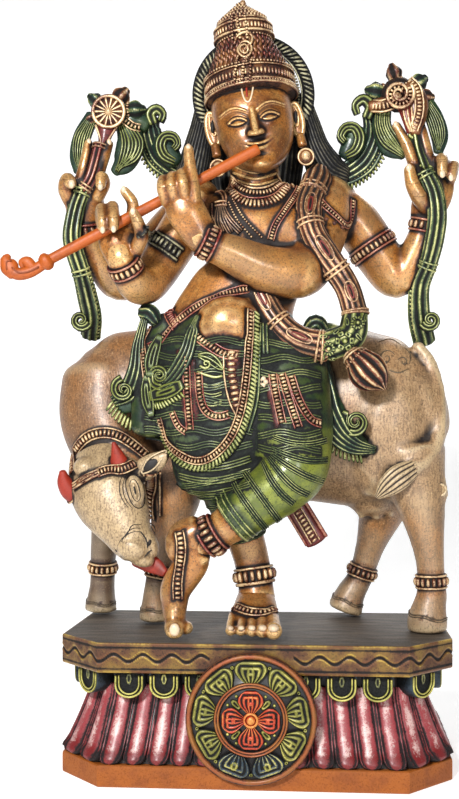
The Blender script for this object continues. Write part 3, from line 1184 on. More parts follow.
def crown_forms():
    crown, red = carvings(2)
    angle = round_turn(60)
    front = np.clip(-np.sin(angle), 0, 1)
    profile = spline([(r * 40, up * 40) for r, up in CROWN_PROFILE], 3.0) / 40
    rings = np.array([on_crown(angle, r, up + front * BROW_LIFT * max(0, 1.2 - up))
                      for r, up in profile])
    crown.sweep(rings[:, ::-1], 0.5, [on_crown(0.0, 0.0, 0.36), on_crown(0.0, 0.0, 2.46)])
    for reach, up, radius in ((1.12, 0.49, 1.7), (1.12, 0.57, 1.3), (1.1, 0.88, 1.0),
                              (0.725, 1.69, 1.6), (0.71, 1.89, 1.3), (0.63, 1.98, 1.1)):
        crown.cord(crown_ring(reach, up), radius)
    for reach, up, pitch, size in ((1.13, 0.53, 3.5, (1.5, 1.7, 1.7)),
                                   (1.085, 0.725, 4.6, (1.6, 4.8, 2.0)),
                                   (1.08, 0.94, 4.2, (1.7, 1.7, 1.7)),
                                   (0.7, 1.79, 4.4, (1.6, 3.8, 1.8)),
                                   (0.66, 1.63, 4.0, (1.4, 1.4, 1.4)),
                                   (0.6, 2.03, 4.4, (1.8, 2.8, 1.6)), (0.51, 2.1, 4.4, (1.8, 2.6, 1.5)),
                                   (0.42, 2.16, 4.2, (1.7, 2.4, 1.5)),
                                   (0.33, 2.22, 4.0, (1.6, 2.3, 1.4)),
                                   (0.24, 2.28, 3.8, (1.5, 2.2, 1.3)),
                                   (0.16, 2.34, 3.6, (1.4, 2.0, 1.2)),
                                   (0.09, 2.4, 3.4, (1.3, 1.8, 1.2))):
        crown.row(crown_ring(reach, up), pitch, size, BAR if size[1] > 2 else BEAD)
    for reach, up, slant in ((0.93, 1.08, 24), (0.85, 1.23, -24), (0.76, 1.38, 24), (0.68, 1.51, -24)):
        crown.row(crown_ring(reach, up), 7.0, (2.3, 6.0, 1.5), BEAD, slant=slant, wear=(0.05, 0.72))
        red.row(crown_ring(reach - 0.04, up + 0.07), 7.0, (1.5, 3.0, 1.8), BEAD)
    crown.ball([HEAD_U - 11.5, 636, HEAD_D - 2], [3.4, 4.2, 3.4], wear=0.8)
    return crown, red


def crown_front(crown, tree):
    """The pendant in front of the crown: bead columns below and above a ringed stone."""
    for shift, half in ((-7, 2.0), (0, 2.8), (7, 2.0)):
        low = line([(-16 + shift, 558), (-15 + shift * 0.9, 572), (-14 + shift * 0.8, 582)], tree,
                   2.6, depth=60)
        crown.row(low, 3.8, (1.7, half, 2.2))
        high = line([(-18 + shift, 600), (-19 + shift, 612), (-20 + shift * 0.8, 626)], tree, 2.2,
                    depth=40)
        crown.row(high, 3.8, (1.7, half, 2.0))
    turn = round_turn(20)
    for reach, radius in ((7.4, 1.5), (4.4, 1.2)):
        ring = [(-14 + reach * math.cos(t), 590 + reach * 1.1 * math.sin(t)) for t in turn]
        crown.cord(line(ring, tree, 2.4, closed=True, depth=55), radius)
    crown.ball([-14, 590, 46], [2.6, 2.8, 2.0], wear=0.9)
    crown.cord(line([(-23, 594), (-21, 603), (-15, 610), (-8, 603), (-6, 594)], tree, 2.4, depth=50), 1.5)


HALO_U, HALO_V, HALO_D = -5, 545, -1
HALO_REACH = 62


def halo_forms():
    """The ring of curls behind the head."""
    hair = Carving()

    def ring(reach, d):
        turn = round_turn(120)
        return Path(place([[HALO_U + reach * math.cos(t), HALO_V + reach * math.sin(t), d]
                           for t in turn]), TOWARDS_EYE, True)

    hair.ribbon(ring(HALO_REACH - 7, HALO_D + 2), 7.6, 2, 0.5, 8, both=True, shade=(0.02, 0.2))
    hair.row(ring(HALO_REACH - 6.6, HALO_D + 3), 5.8, (1.8, 8.6, 2.6), BEAD, slant=34)
    hair.row(ring(HALO_REACH - 6.6, HALO_D - 7), 5.8, (1.9, 8.2, 2.0), BEAD, slant=-34)
    hair.cord(ring(HALO_REACH - 13.5, HALO_D + 5), 1.3)
    hair.row(ring(HALO_REACH - 16.5, HALO_D + 6), 3.6, (1.5, 1.6, 1.6))
    return hair


def hair_forms():
    hair = Carving()
    hair.limb([[-4, 590, -13, 20, 0.4], [-4, 545, -14, 46, 0.36], [-4, 488, -19, 50, 0.34],
               [-4, 430, -20, 40, 0.3], [-4, 396, -19, 28, 0.3]], 160, 5, folds=44, rise=0.012)
    hair.limb([[40, 540, -10, 12, 0.8], [49, 514, -8, 13, 0.8], [57, 490, -7, 15, 0.75],
               [70, 468, -7, 19, 0.6], [84, 462, -8, 15, 0.5]], 120, 4.5, folds=30, rise=0.035)
    hair.limb([[-50, 540, -10, 11, 0.8], [-55, 512, -8, 13, 0.75], [-60, 490, -8, 15, 0.7],
               [-66, 464, -8, 17, 0.6]], 120, 4.5, folds=28, rise=0.035)
    return hair


def circle(u, v, d, reach, steps=36, squash=1.0):
    """A ring in the drawing that faces the eye."""
    turn = round_turn(steps)
    return Path(place([[u + reach * math.cos(t), v + reach * squash * math.sin(t), d] for t in turn]),
                TOWARDS_EYE, True)


def oval(first, last, half):
    """Drawing points of a long loop between two places."""
    first, last = np.array(first, float), np.array(last, float)
    along = (last - first) / 2
    across = np.array([along[1], -along[0]]) / np.linalg.norm(along) * half
    turn = round_turn(14)
    wide = np.sign(np.sin(turn)) * np.abs(np.sin(turn)) ** 0.75
    return [(first + last) / 2 + along * math.cos(t) + across * w for t, w in zip(turn, wide)]


def strap(carving, path, half, pitch, edge=1.1, rise=2.0, shape=BAR, rims=None, slant=0):
    """A row of bars or beads between two cords."""
    carving.row(path, pitch, (pitch * 0.37, half, rise), shape, out=0.2, slant=slant)
    for side in (-1, 1):
        (rims or carving).cord(path.moved(side * (half + edge)), edge)


# The chest: neck creases, the deep collar, the strap across and the tassel.
def chest_dress(flesh):
    gilt, rope, red, creases = carvings(4)
    for v, half in ((470, 20), (464, 22), (458, 24)):
        creases.cord(line([(-3 - half, v + 3), (-3, v - 3), (-3 + half, v + 3)], flesh, -0.2), 1.7,
                     (0.45, 0.9))
    outer = line([(-34, 459), (-20, 441), (-2, 436), (19, 442), (38, 466)], flesh, 1.0)
    inner = line([(-29, 462), (-17, 450), (-2, 446), (16, 450), (31, 466)], flesh, 1.8)
    gilt.row(outer, 4.7, (1.75, 6.2, 2.6), BAR)
    gilt.row(inner, 4.0, (1.5, 3.4, 2.4), BAR)
    red.cord(line([(-32, 461), (-19, 445), (-2, 441), (17, 446), (34, 466)], flesh, 1.6), 1.0)
    gilt.cord(line([(-26, 464), (-15, 454), (-2, 451), (14, 454), (27, 467)], flesh, 1.8), 1.5)
    across = line([(45, 464), (40, 450), (28, 431), (17, 415), (12, 400)], flesh, 1.2)
    strap(gilt, across, 2.6, 3.6, 0.9, 1.6, BEAD, red)
    for points in ([(-30, 438), (-22, 421), (-6, 402)], [(-26, 441), (-15, 422), (4, 402)],
                   [(-46, 436), (-46, 422), (-42, 408)]):
        gilt.row(line(points, flesh, 0.8), 3.6, (1.6, 1.6, 1.5))
    rope.ribbon(line([(-46, 458), (-38, 450), (-33, 442), (-34, 434)], flesh, 1.4), [3, 5, 4, 3], 2, 1.4)
    for points in ([(-36, 434), (-31, 422), (-18, 408)], [(-37, 434), (-35, 420), (-28, 407)],
                   [(-39, 434), (-41, 421), (-38, 408)]):
        rope.ribbon(line(points, flesh, 1.6), [3.2, 4.6, 4.4], 3, 1.3, tone=0.6)
    for v in (437, 433):
        rope.cord(line([(-43, v - 1), (-37, v + 1), (-31, v)], flesh, 2.6), 1.5)
    return gilt, rope, red, creases


# The thick garland, cloth bound in lengths, with a flowered stretch and a fluted bud.
GARLAND = [[58, 458, 18, 12, 0.8], [50, 434, 34, 13.5, 0.7], [54, 408, 46, 12.5, 0.8],
           [68, 384, 50, 13.5, 0.8], [88, 354, 48, 12.5, 0.8], [97, 326, 49, 12.5, 0.9],
           [92, 304, 52, 15, 0.9], [68, 293, 54, 15.5, 0.8], [40, 300, 52, 14.5, 0.8],
           [18, 318, 49, 13.5, 0.8], [2, 344, 44, 13.5, 0.7], [-8, 366, 40, 12, 0.7]]


def garland_forms():
    bound, red, flowered = carvings(3)
    bound.limb(GARLAND[:6], 56, 2.8, folds=13, rise=0.035)
    bound.limb(GARLAND[7:], 56, 2.8, folds=13, rise=0.035)
    flowered.limb(GARLAND[5:8], 56, 2.4, folds=9, rise=0.03, tone=0.8)
    bound.limb([[61, 470, 10, 9, 0.8], [59, 462, 15, 13.5, 0.8], [54, 450, 25, 13, 0.8]], 60, 2,
               folds=11, rise=0.07)
    rope_tree = tree_of(bound.mesh("bound"), flowered.mesh("flowered"))
    for at in (0.32, 1.72, 3.48, 4.95, 7.25, 8.95):
        for shift in (-0.075, 0.075):
            bound.cord(hoop(GARLAND, at + shift, 0.7), 1.6)
    for first, last in (((54, 449), (50, 424)), ((58, 405), (75, 379)), ((88, 360), (97, 337)),
                        ((55, 298), (27, 310)), ((11, 329), (-4, 357))):
        bound.cord(line(oval(first, last, 5.2), rope_tree, 0.3, closed=True), 1.1)
        short = 0.18 * (np.array(last) - np.array(first))
        red.cord(line(oval(first + short, last - short, 2.2), rope_tree, 0.2, closed=True), 0.9)
    for u, v, size in ((86, 299, 6.4), (99, 317, 4.6), (70, 291, 4.6)):
        for turn in round_turn(6):
            petal = line([(u + 0.7 * size * math.cos(turn), v + 0.7 * size * math.sin(turn)),
                          (u + 1.5 * size * math.cos(turn), v + 1.5 * size * math.sin(turn))],
                         rope_tree, 0.8, 1.0)
            flowered.leaf(petal, size * 0.75, 1, 1.4, 2, 1.0)
        spot = line([(u, v), (u + 0.5, v)], rope_tree, 0.8, 1.0)
        flowered.row(spot, 50, (size * 0.5, size * 0.5, size * 0.4), FINE_BEAD, tone=1.0)
    for u, v, lean in ((78, 308, 40), (100, 303, -50), (93, 288, 20), (77, 281, -10), (65, 303, 0),
                       (64, 284, 90), (106, 322, 80), (89, 318, 100)):
        way = np.array([math.cos(math.radians(lean)), math.sin(math.radians(lean))]) * 5
        flowered.leaf(line([(u - way[0], v - way[1]), (u + way[0], v + way[1])], rope_tree, 0.5, 1.0),
                      [1, 3.6, 3.0, 0.6], 1, 1.4, 2, 0.6)
    bud = [[92, 288, 52, 7], [96, 283, 54, 11], [101, 278, 55, 15], [108, 270, 56, 18.5],
           [115, 263, 56, 17], [121, 257, 55, 11], [126, 251, 55, 3]]
    bulb = Carving()
    bulb.limb(bud, 88, 1.5, folds=11, rise=0.06, tone=0.5)
    for at in (0.2, 0.7):
        bulb.cord(hoop(bud, at, 1.0), 1.7)
    bulb.row(hoop(bud, 1.3, 0.6), 4.4, (1.6, 2.0, 1.6))
    return bound, red, flowered, bulb


def arm_bands(flesh):
    """The bands on the arms: wristlets, armlets, and the beaded point on the shoulder."""
    gilt, red, dark = carvings(3)
    for arm, at, half, pitch, carving in (
            (LEFT_ARM, 5.85, 5.4, 6.2, gilt), (RIGHT_ARM, 4.75, 5.0, 6.4, gilt),
            (REAR_LEFT_ARM, 1.72, 5.0, 6.2, gilt),
            (REAR_LEFT_ARM, 5.25, 5.2, 7.4, gilt), (REAR_RIGHT_ARM, 5.3, 5.0, 7.4, gilt)):
        strap(carving, hoop(arm, at, 0.9, flesh), half, pitch, 1.5, 2.5, BAR, red)
    strap(dark, line([(-117, 409), (-104, 402), (-91, 394), (-79, 385)], flesh, 1.2), 6.0, 6.0, 1.6, 3.0)
    point = line([(56, 446), (66, 434), (78, 423), (89, 413), (93, 424), (94, 440)], flesh, 1.0)
    strap(gilt, point, 2.4, 3.8, 0.9, 1.8, BEAD, red)
    for u in (62, 70, 78):
        gilt.ball([u + 6, 421 - (u - 62) * 0.5, 50], [2.4, 2.4, 2])
    return gilt, red, dark


def finger_marks(flesh):
    """Creases over the finger joints, and pale nails."""
    creases, nails = carvings(2)
    for _, *fingers in (LEFT_HAND, RIGHT_HAND, REAR_RIGHT_HAND, REAR_LEFT_HAND):
        for finger in fingers:
            for station in finger[1:-1]:
                u, v, d, r = station[:4]
                creases.cord(line([(u - r * 0.7, v + 1), (u, v), (u + r * 0.7, v + 1)], flesh, -0.4,
                                  1.0, even=1), 0.55, (0.0, 0.35))
            before, tip = np.array(finger[-2][:4], float), np.array(finger[-1][:4], float)
            way = unit(tip[:3] - before[:3])
            nail = tip[:3] + way * tip[3] * 0.35
            nail[2] += tip[3] * (0.72 if way[2] > -0.75 else -0.2)
            nails.ball(nail, [tip[3] * 0.52, tip[3] * 0.74, tip[3] * 0.34], lean=0, wear=0.8)
    for toe in toes():
        u, v, d, r = toe[-1]
        nails.ball([u, v + 2.5, d + r * 0.72], [r * 0.66, r * 0.5, r * 0.6], wear=0.8)
    nails.ball([-84, 10, 86.5], [5.4, 6.6, 3], wear=0.8)
    return creases, nails


# The skirt's dress, laid on the cloth: belts, swags, bead columns, ribbons and volutes.
BIG_SWAG = [(-9, 330), (-10, 290), (-14, 250), (-20, 222), (-30, 200), (-46, 184), (-62, 179),
            (-78, 186), (-90, 198), (-98, 222)]
BELT = [(-10, 352), (-24, 348), (-44, 342), (-66, 330), (-84, 315), (-97, 299), (-110, 292)]


def skirt_dress(dressed):
    gilt, red, green, pale = carvings(4)

    def on(points, lift=0.8, closed=False):
        return line(points, dressed, lift, closed=closed)

    for base in (302, 287, 272, 257, 242, 227, 212, 197):
        wave = [(u, base - 3 + 2.4 * math.sin(u / 7 + base)) for u in np.linspace(-114, -6, 34)]
        green.ribbon(on(wave, 0.0), 4.6, 3, 1.0, 1.6, tone=0.35, shade=(-0.1, 0.85))
        wave = [(u, base - 6 + 2.4 * math.sin(u / 7 + base)) for u in np.linspace(0, 62, 18)]
        green.ribbon(on(wave, 0.0), 4.6, 3, 1.0, 1.6, tone=0.5, shade=(-0.1, 0.9))
    for base in (181, 168, 155):
        wave = [(u, base - 9 * math.sin((u + 90) / 80 * math.pi)) for u in np.linspace(-88, -8, 24)]
        green.ribbon(on(wave, 0.2), 5.2, 3, 1.2, 1.8, tone=0.7, shade=(-0.1, 0.95))
    for points, half in (([(-25, 290), (-24, 262), (-19, 230)], 9),
                         ([(-80, 290), (-77, 250), (-70, 214)], 4),
                         ([(-66, 280), (-65, 250), (-62, 220)], 4),
                         ([(9, 262), (13, 240), (19, 212)], 4)):
        red.ribbon(on(points, 0.4), half, 1, 0.6, 1.6, shade=(0.3, 0.5))
    strap(gilt, on(BELT, 1.4), 3.6, 3.9, 1.0, 2.4, BAR, red)
    strap(gilt, on([(-63, 305), (-48, 294), (-34, 286), (-20, 284)]), 4.2, 4.4, 1.1, 2.2, BAR, red, 12)
    strap(red, on([(-92, 333), (-87, 322), (-81, 313)], 1.2), 5.2, 3.8, 1.0, 2.0)
    swag = on(BIG_SWAG, 2.2)
    strap(gilt, swag, 3.0, 4.1, 1.0, 2.6, BAR, slant=10)
    green.row(swag.moved(-9.0, -0.8), 4.6, (1.8, 5.2, 2.4), BAR, slant=24, tone=0.7)
    green.ribbon(swag.moved(-8.0, -1.8), 6.5, 1, 0.6, 3, shade=(0.0, 0.3))
    gilt.cord(on([(-35, 288), (-34, 262), (-29, 238), (-21, 222)], 1.0), 1.1)
    gilt.row(on([(-27, 290), (-26, 262), (-21, 232)], 1.4), 6.6, (2.5, 5.4, 3.0), BAR)
    strap(gilt, on([(-72, 284), (-71, 248), (-68, 210)], 1.2), 3.2, 4.4, 0.9, 2.4, BAR, red)
    strap(gilt, on([(-60, 268), (-58, 242), (-52, 228), (-40, 223), (-29, 226)], 1.2), 3.2, 4.4, 0.9,
          2.4, BAR, red)
    strap(gilt, on([(-86, 228), (-80, 214), (-72, 208)], 1.0), 2.8, 4.4, 0.8, 2.0, BAR, red)
    clasp = on(spiral((-52, 276), 6.5, 1.3, 200), 1.6)
    green.cord(clasp, 1.5, tone=1.0, taper=[1, 0.6])
    for rise, width in ((0, 2.2), (5, 2.0), (10, 1.6)):
        green.ribbon(on([(-60, 285 - rise * 0.2), (-50, 287 - rise), (-40, 280 - rise), (-35, 270)], 1.0),
                     width, 1, 1.6, 2, tone=1.0)
    green.cord(on([(-61, 268), (-53, 265), (-42, 262), (-36, 264)], 0.8), 1.6, tone=1.0)
    for v in (257, 248, 239):
        for shift in (0, -2.6):
            green.cord(on([(-57, v + shift), (-46, v - 3 + shift), (-37, v + shift)], -0.2), 0.75,
                       tone=1.0)
    ribbon = on([(-59, 324), (-66, 306), (-71, 288), (-79, 272), (-90, 258), (-100, 253)], 2.0)
    green.ribbon(ribbon, [5, 8, 9, 11, 10, 6], 4, 2.4, 5, tone=0.2)
    curl = on(spiral((-97, 264), 12, 1.6, -80, -1), 3.4)
    green.ribbon(curl, [5.4, 4.2, 2.4], 2, 2.6, 6, tone=1.0)
    leaf = on([(-74, 256), (-86, 250), (-98, 246), (-110, 243)], 2.4)
    green.leaf(leaf, [5, 9, 10, 8, 6], 2, 2.8, 5, 1.0)
    green.row(on([(-74, 246), (-86, 240), (-98, 234), (-108, 235)], 1.2), 4.6, (1.6, 5.4, 2.0), BAR,
              slant=-20, tone=1.0)
    for points in ([(-114, 318), (-115, 290), (-112, 262), (-108, 240)],
                   [(-123, 312), (-126, 290), (-128, 268)]):
        strap(gilt, on(points, 1.0), 2.6, 4.0, 0.9, 2.2)
    for points, half in (([[-98, 306, 42], [-106, 284, 46], [-109, 262, 49]], [3, 8, 9, 4]),
                         ([[-112, 266, 47], [-112, 246, 49], [-107, 222, 51]], [3, 7, 8, 3])):
        green.leaf(line(points), half, 2, 2.4, 8, 0.6)
    for points in ([(0, 318), (-1, 280), (-3, 240), (-12, 208)], [(6, 316), (7, 286)]):
        green.ribbon(on(points, 0.6), 4.4, 2, 1.6, 2, tone=0.2)
    sash = line([[-114, 322, 30], [-120, 296, 34], [-122, 270, 38], [-130, 248, 38], [-145, 238, 34]],
                None, 2)
    green.ribbon(sash, [4, 6, 10, 13, 7], 4, 2.4, 10, both=True, tone=0.2)
    green.ribbon(line(spiral((-135, 250), 12, 1.4, 100, depth=44)), [5, 3.6, 2], 2, 2.4, 6, tone=1.0)
    edge = line([[-150, 236, 36], [-140, 224, 36], [-128, 215, 36], [-114, 211, 36]])
    green.row(edge, 5.0, (1.9, 8.0, 2.6), BAR, slant=-16, tone=0.5)
    green.limb([[-116, 262, 30, 8, 0.6], [-128, 242, 32, 14, 0.4], [-138, 232, 32, 8, 0.5]], 24, 3)
    green.limb([[-116, 328, 26, 7], [-108, 326, 30, 9], [-102, 318, 32, 6]], 30, 2, folds=7, rise=0.1)
    green.limb([[50, 310, 14, 7], [57, 315, 16, 10], [64, 309, 12, 8]], 36, 2, folds=9, rise=0.1)
    gilt.ball([12, 272, 62], [8, 6.5, 6], wear=0.8)
    for shift in (-7, 0, 7):
        gilt.ball([12 + shift, 266, 61], [3.4, 5, 4], wear=0.9)
    for turn in round_turn(5):
        pale.ball([4 + 3.4 * math.cos(turn), 258 + 3.4 * math.sin(turn), 70], [2.6, 2.6, 2.0], wear=0.8)
    for points in ([(14, 266), (18, 244), (24, 216)], [(23, 266), (30, 242), (40, 212)],
                   [(32, 264), (41, 238), (53, 219), (62, 216)]):
        strap(gilt, on(points, 1.2), 3.4, 4.4, 0.9, 2.6, BAR, red)
    return gilt, red, green, pale


def right_sash():
    """The long ridged sash end on the viewer's right hip, with its curl and feathered edge."""
    green = Carving()
    long = line([[54, 296, 30], [62, 262, 34], [69, 226, 42], [80, 206, 44], [96, 194, 40],
                 [116, 190, 32]], None, 4)
    green.ribbon(long, [7, 11, 15, 17, 12, 4], 5, 2.2, 14)
    green.ribbon(line(spiral((97, 218), 12, 1.5, -120, 1, depth=46)), [5, 3.4, 1.6], 2, 2.2, 6,
                 tone=1.0)
    edge = line([[62, 212, 36], [72, 196, 36], [86, 186, 36], [104, 182, 32]])
    green.row(edge, 5.0, (1.9, 8.0, 2.6), BAR, slant=-24, tone=0.6)
    green.leaf(line([[88, 230, 42], [84, 216, 44], [92, 202, 44]]), [3, 8, 5], 2, 1.8, 5, 1.0)
    green.limb([[56, 292, 26, 11, 0.5], [64, 250, 32, 13, 0.4], [80, 212, 36, 16, 0.4],
                [106, 190, 30, 8, 0.5]], 20, 3)
    return green


# The bound lines on the trousers of both legs; those on the knee fan out from its inner side.
KNEE_LINES = [[(15, 203), (32, 197), (52, 196), (68, 200)], [(13, 192), (32, 184), (52, 179), (69, 180)],
              [(13, 186), (30, 174), (48, 164), (65, 158)], [(10, 182), (22, 166), (36, 152), (50, 145)],
              [(4, 178), (12, 161), (23, 146), (35, 136)]]


def trouser_lines(dressed):
    lines, skin_strap, red = carvings(3)
    for at in (6.2, 6.85):
        lines.ribbon(hoop(CROSSED_CLOTH, at, 0.4, dressed, steps=90), 4.0, 3, 1.1, 1.4, tone=1.0,
                     shade=(-0.3, 1.0))
    for at in (7.4, 7.65, 7.9):
        lines.cord(hoop(CROSSED_CLOTH, at, 0.2, dressed, steps=90), 1.1, tone=0.6)
    for points in KNEE_LINES:
        lines.ribbon(line(points, dressed, 0.4, depth=70), [3.2, 4.2, 4.2, 4.0], 3, 1.1, 1.4, tone=1.0,
                     shade=(-0.3, 1.0))
    for at in (1.3, 1.6, 1.9, 2.3, 2.7, 3.1, 3.6, 3.95):
        lines.ribbon(hoop(STANDING_CLOTH, at, 0.2, dressed, steps=80), 4.0, 3, 0.9, 1.4, tone=0.7,
                     shade=(-0.25, 0.9))
    base = [[22, 158, 28, 11, 0.35], [40, 128, 29, 11, 0.35], [58, 99, 30, 11.5, 0.35]]
    red.limb(base, 24, 3, cap=0.3)
    middle = line([[24, 152, 33.5], [40, 127, 34], [57, 98, 35]])
    strap(skin_strap, middle, 4.6, 5.2, 1.0, 2.2, BAR, slant=-10)
    red.cord(line([[34, 157, 32], [51, 131, 33], [68, 103, 34]]), 2.4)
    red.cord(line([[13, 150, 31], [31, 122, 32], [48, 94, 33]]), 1.6)
    return lines, skin_strap, red


def leg_bands(flesh):
    gilt, red = carvings(2)
    strap(gilt, hoop(CROSSED_LEG, 5.85, 2.2, flesh), 7.4, 7.6, 1.6, 3.8, BAR, red)
    ring = hoop(STANDING_LEG, 4.62, 2.2, flesh)
    strap(gilt, ring, 7.0, 7.4, 1.6, 4.2)
    gilt.cord(ring.moved(9.6), 1.5)
    toe_band = line([(-29, 37), (-17, 30), (-3, 27), (12, 28), (24, 36)], flesh, 1.0, depth=50)
    strap(gilt, toe_band, 3.4, 5.0, 1.2, 2.6, BAR)
    down = line([(-79, 108), (-77, 96), (-78, 76), (-81, 57), (-81, 40)], flesh, 1.0, depth=66)
    strap(gilt, down, 4.0, 5.4, 1.0, 2.4, BAR)
    return gilt, red


# The cow's horns, harness, eye, muzzle, rings, hooves and tuft.
def cow_dress(hide_tree):
    gilt, hide, pits, horn = carvings(4)

    def on(points, lift=0.8, depth=30, closed=False):
        return line(points, hide_tree, lift, closed=closed, depth=depth)

    horn.limb([[-180, 146, 26, 11], [-188, 149, 30, 10], [-194, 158, 34, 7.5], [-196, 168, 38, 3.5]],
              28, 2)
    horn.limb([[-138, 172, 38, 11.5, 0.8], [-141, 184, 42, 7, 0.85], [-145, 197, 46, 2]], 28, 2)
    gilt.cord(hoop([[-180, 146, 26, 11], [-188, 149, 30, 10], [-194, 158, 34, 7]], 0.6, 0.8), 1.5)
    wreath = on([(-184, 153), (-172, 161), (-161, 166), (-150, 170), (-138, 170), (-124, 176)], 1.6)
    strap(gilt, wreath.part(0.42, 1.0), 4.4, 4.0, 1.0, 2.6)
    for shift in (-3.4, 0, 3.4):
        gilt.cord(wreath.part(0.0, 0.46).moved(shift, 0.8), 1.6)
    gilt.leaf(wreath.part(0.06, 0.44).moved(0, 1.6), [2, 5, 4, 1.5], 2, 1.6, 2, 0)
    collar = on([(-186, 166), (-184, 186), (-172, 202), (-156, 207), (-140, 204), (-126, 195),
                 (-113, 184)], 1.4)
    strap(gilt, collar, 4.6, 5.0, 1.2, 2.8)
    strap(gilt, on([(-109, 167), (-108, 150), (-107, 134), (-106, 120)], 1.2), 5.6, 5.4, 1.3, 2.6, BAR,
          slant=8)
    gilt.cord(on([(-99, 168), (-98, 146), (-98, 124)], 1.0), 1.5)

    for first, last, half in (((-126.5, 162), (-120.5, 137), 4.4), ((-128, 168), (-118.5, 131), 8.4)):
        pits.cord(on(oval(first, last, half), 0.1, 60, True), 0.7)
    for shift in (0, 3.4):
        brow = [(-132 - shift, 166), (-136 - shift, 155), (-134 - shift, 142), (-127 - shift, 132)]
        pits.cord(on(brow, 0.1, 60), 0.65, taper=[0.5, 1, 0.5])
    hide.ball([-123.8, 149.5, 58.5], [2.8, 8.6, 3.0], lean=-14, wear=0.75)
    pits.ball([-123.6, 149.5, 60.9], [1.1, 4.8, 1.2], lean=-14)
    for shift in (0, 3.6, 7.2):
        pits.cord(on([(-141 + shift, 94 + shift), (-137 + shift, 101 + shift), (-127, 108 + shift),
                      (-118, 108 + shift)], 0.0, 60), 0.75, taper=[0.4, 1, 0.6])
    pits.cord(on([(-118, 108), (-112, 100), (-111, 92)], 0.0, 60), 0.8)
    for shift in (0, 3.4):
        pits.cord(on([(-112 + shift * 0.6, 121 + shift), (-107 + shift * 0.5, 112 + shift),
                      (-103 + shift * 0.2, 105 + shift)], 0.0, 60), 0.75, taper=[0.5, 1, 0.5])
    pits.ball([-109, 97, 62], [1.6, 3.4, 2.0], lean=20)
    pits.ball([-142, 90, 58], [1.6, 2.6, 2.0], lean=-20)
    pits.cord(on([(-140, 82), (-130, 78), (-118, 80), (-107, 90)], -0.1, 60), 0.8)
    horn.limb([[-122, 82, 42, 9, 0.6], [-112, 78, 45, 9.5, 0.5], [-102, 73, 48, 8, 0.5],
               [-94, 67, 52, 4.5, 0.6]], 24, 2)
    ear = [[-124, 166, 34, 8.5, 0.8], [-113, 171, 37, 11.5, 0.62], [-102, 179, 40, 9.5, 0.55],
           [-92, 187, 42, 3, 0.6]]
    hide.limb(ear, 30, 2)
    pits.limb([[-113, 171, 43, 5.0, 0.4], [-107, 175, 44.5, 6.0, 0.35], [-99, 181, 45, 1.2, 0.5]], 20, 2)
    hide.cord(line([[-117, 168, 43], [-111, 180, 45], [-100, 187, 45], [-92, 189, 44], [-98, 179, 46],
                    [-106, 170, 46], [-116, 166, 44]], None, closed=True), 1.1)
    for leg, at, half in ((COW_FAR_FORE_LEG, 3.6, 5.0), (COW_FAR_HIND_LEG, 3.85, 5.0),
                          (COW_HIND_LEG, 2.7, 5.6), (COW_FORE_LEG, 2.55, 5.0)):
        strap(gilt, hoop(leg, at, 1.6, hide_tree), half, 6.4, 1.5, 3.4, BAR)
    for leg, at in ((COW_FAR_FORE_LEG, 5.35), (COW_FAR_HIND_LEG, 5.35), (COW_HIND_LEG, 4.7),
                    (COW_FORE_LEG, 4.6)):
        ring = hoop(leg, at, 0.3, hide_tree)
        sway = np.sin(np.linspace(0, 8 * math.pi, len(ring.places), endpoint=False)) * 1.3
        for shift in (0.0, 2.6):
            hide.cord(ring.moved(sway + shift), 0.9, (0.0, 0.3))
    hide.ball([180, 150, 22], [9, 13, 9])
    hide.cord(circle(182, 150, 30, 5.5), 1.6)
    tuft = [[162, 176, 34, 7, 0.9], [152, 170, 39, 9.5, 0.75], [140, 162, 42, 12, 0.65],
            [128, 152, 42, 9.5, 0.6], [119, 143, 40, 3, 0.7]]
    hide.limb(tuft, 72, 1.5, folds=13, rise=0.08)
    return gilt, hide, pits, horn


RUMP_CENTRE = (134, 284)


def rump_carving(hide_tree):
    """A plain carved scroll of curved strokes on the cow's rump."""
    strokes = Carving()
    u, v = RUMP_CENTRE
    lines = [spiral((u - 6, v - 2), 9, 1.4, 20), [(u - 14, v + 14), (u - 2, v + 17), (u + 9, v + 11)],
             spiral((u + 11, v - 6), 6, 1.1, 160, -1),
             [(u - 4, v - 14), (u + 6, v - 17), (u + 16, v - 13)],
             [(u + 12, v + 8), (u + 18, v + 2), (u + 17, v - 8)]]
    for points in lines:
        strokes.cord(line(points, hide_tree, -0.1, 1.5), 1.0, (0.0, 0.3), taper=[0.5, 1, 1, 0.5])
    return strokes


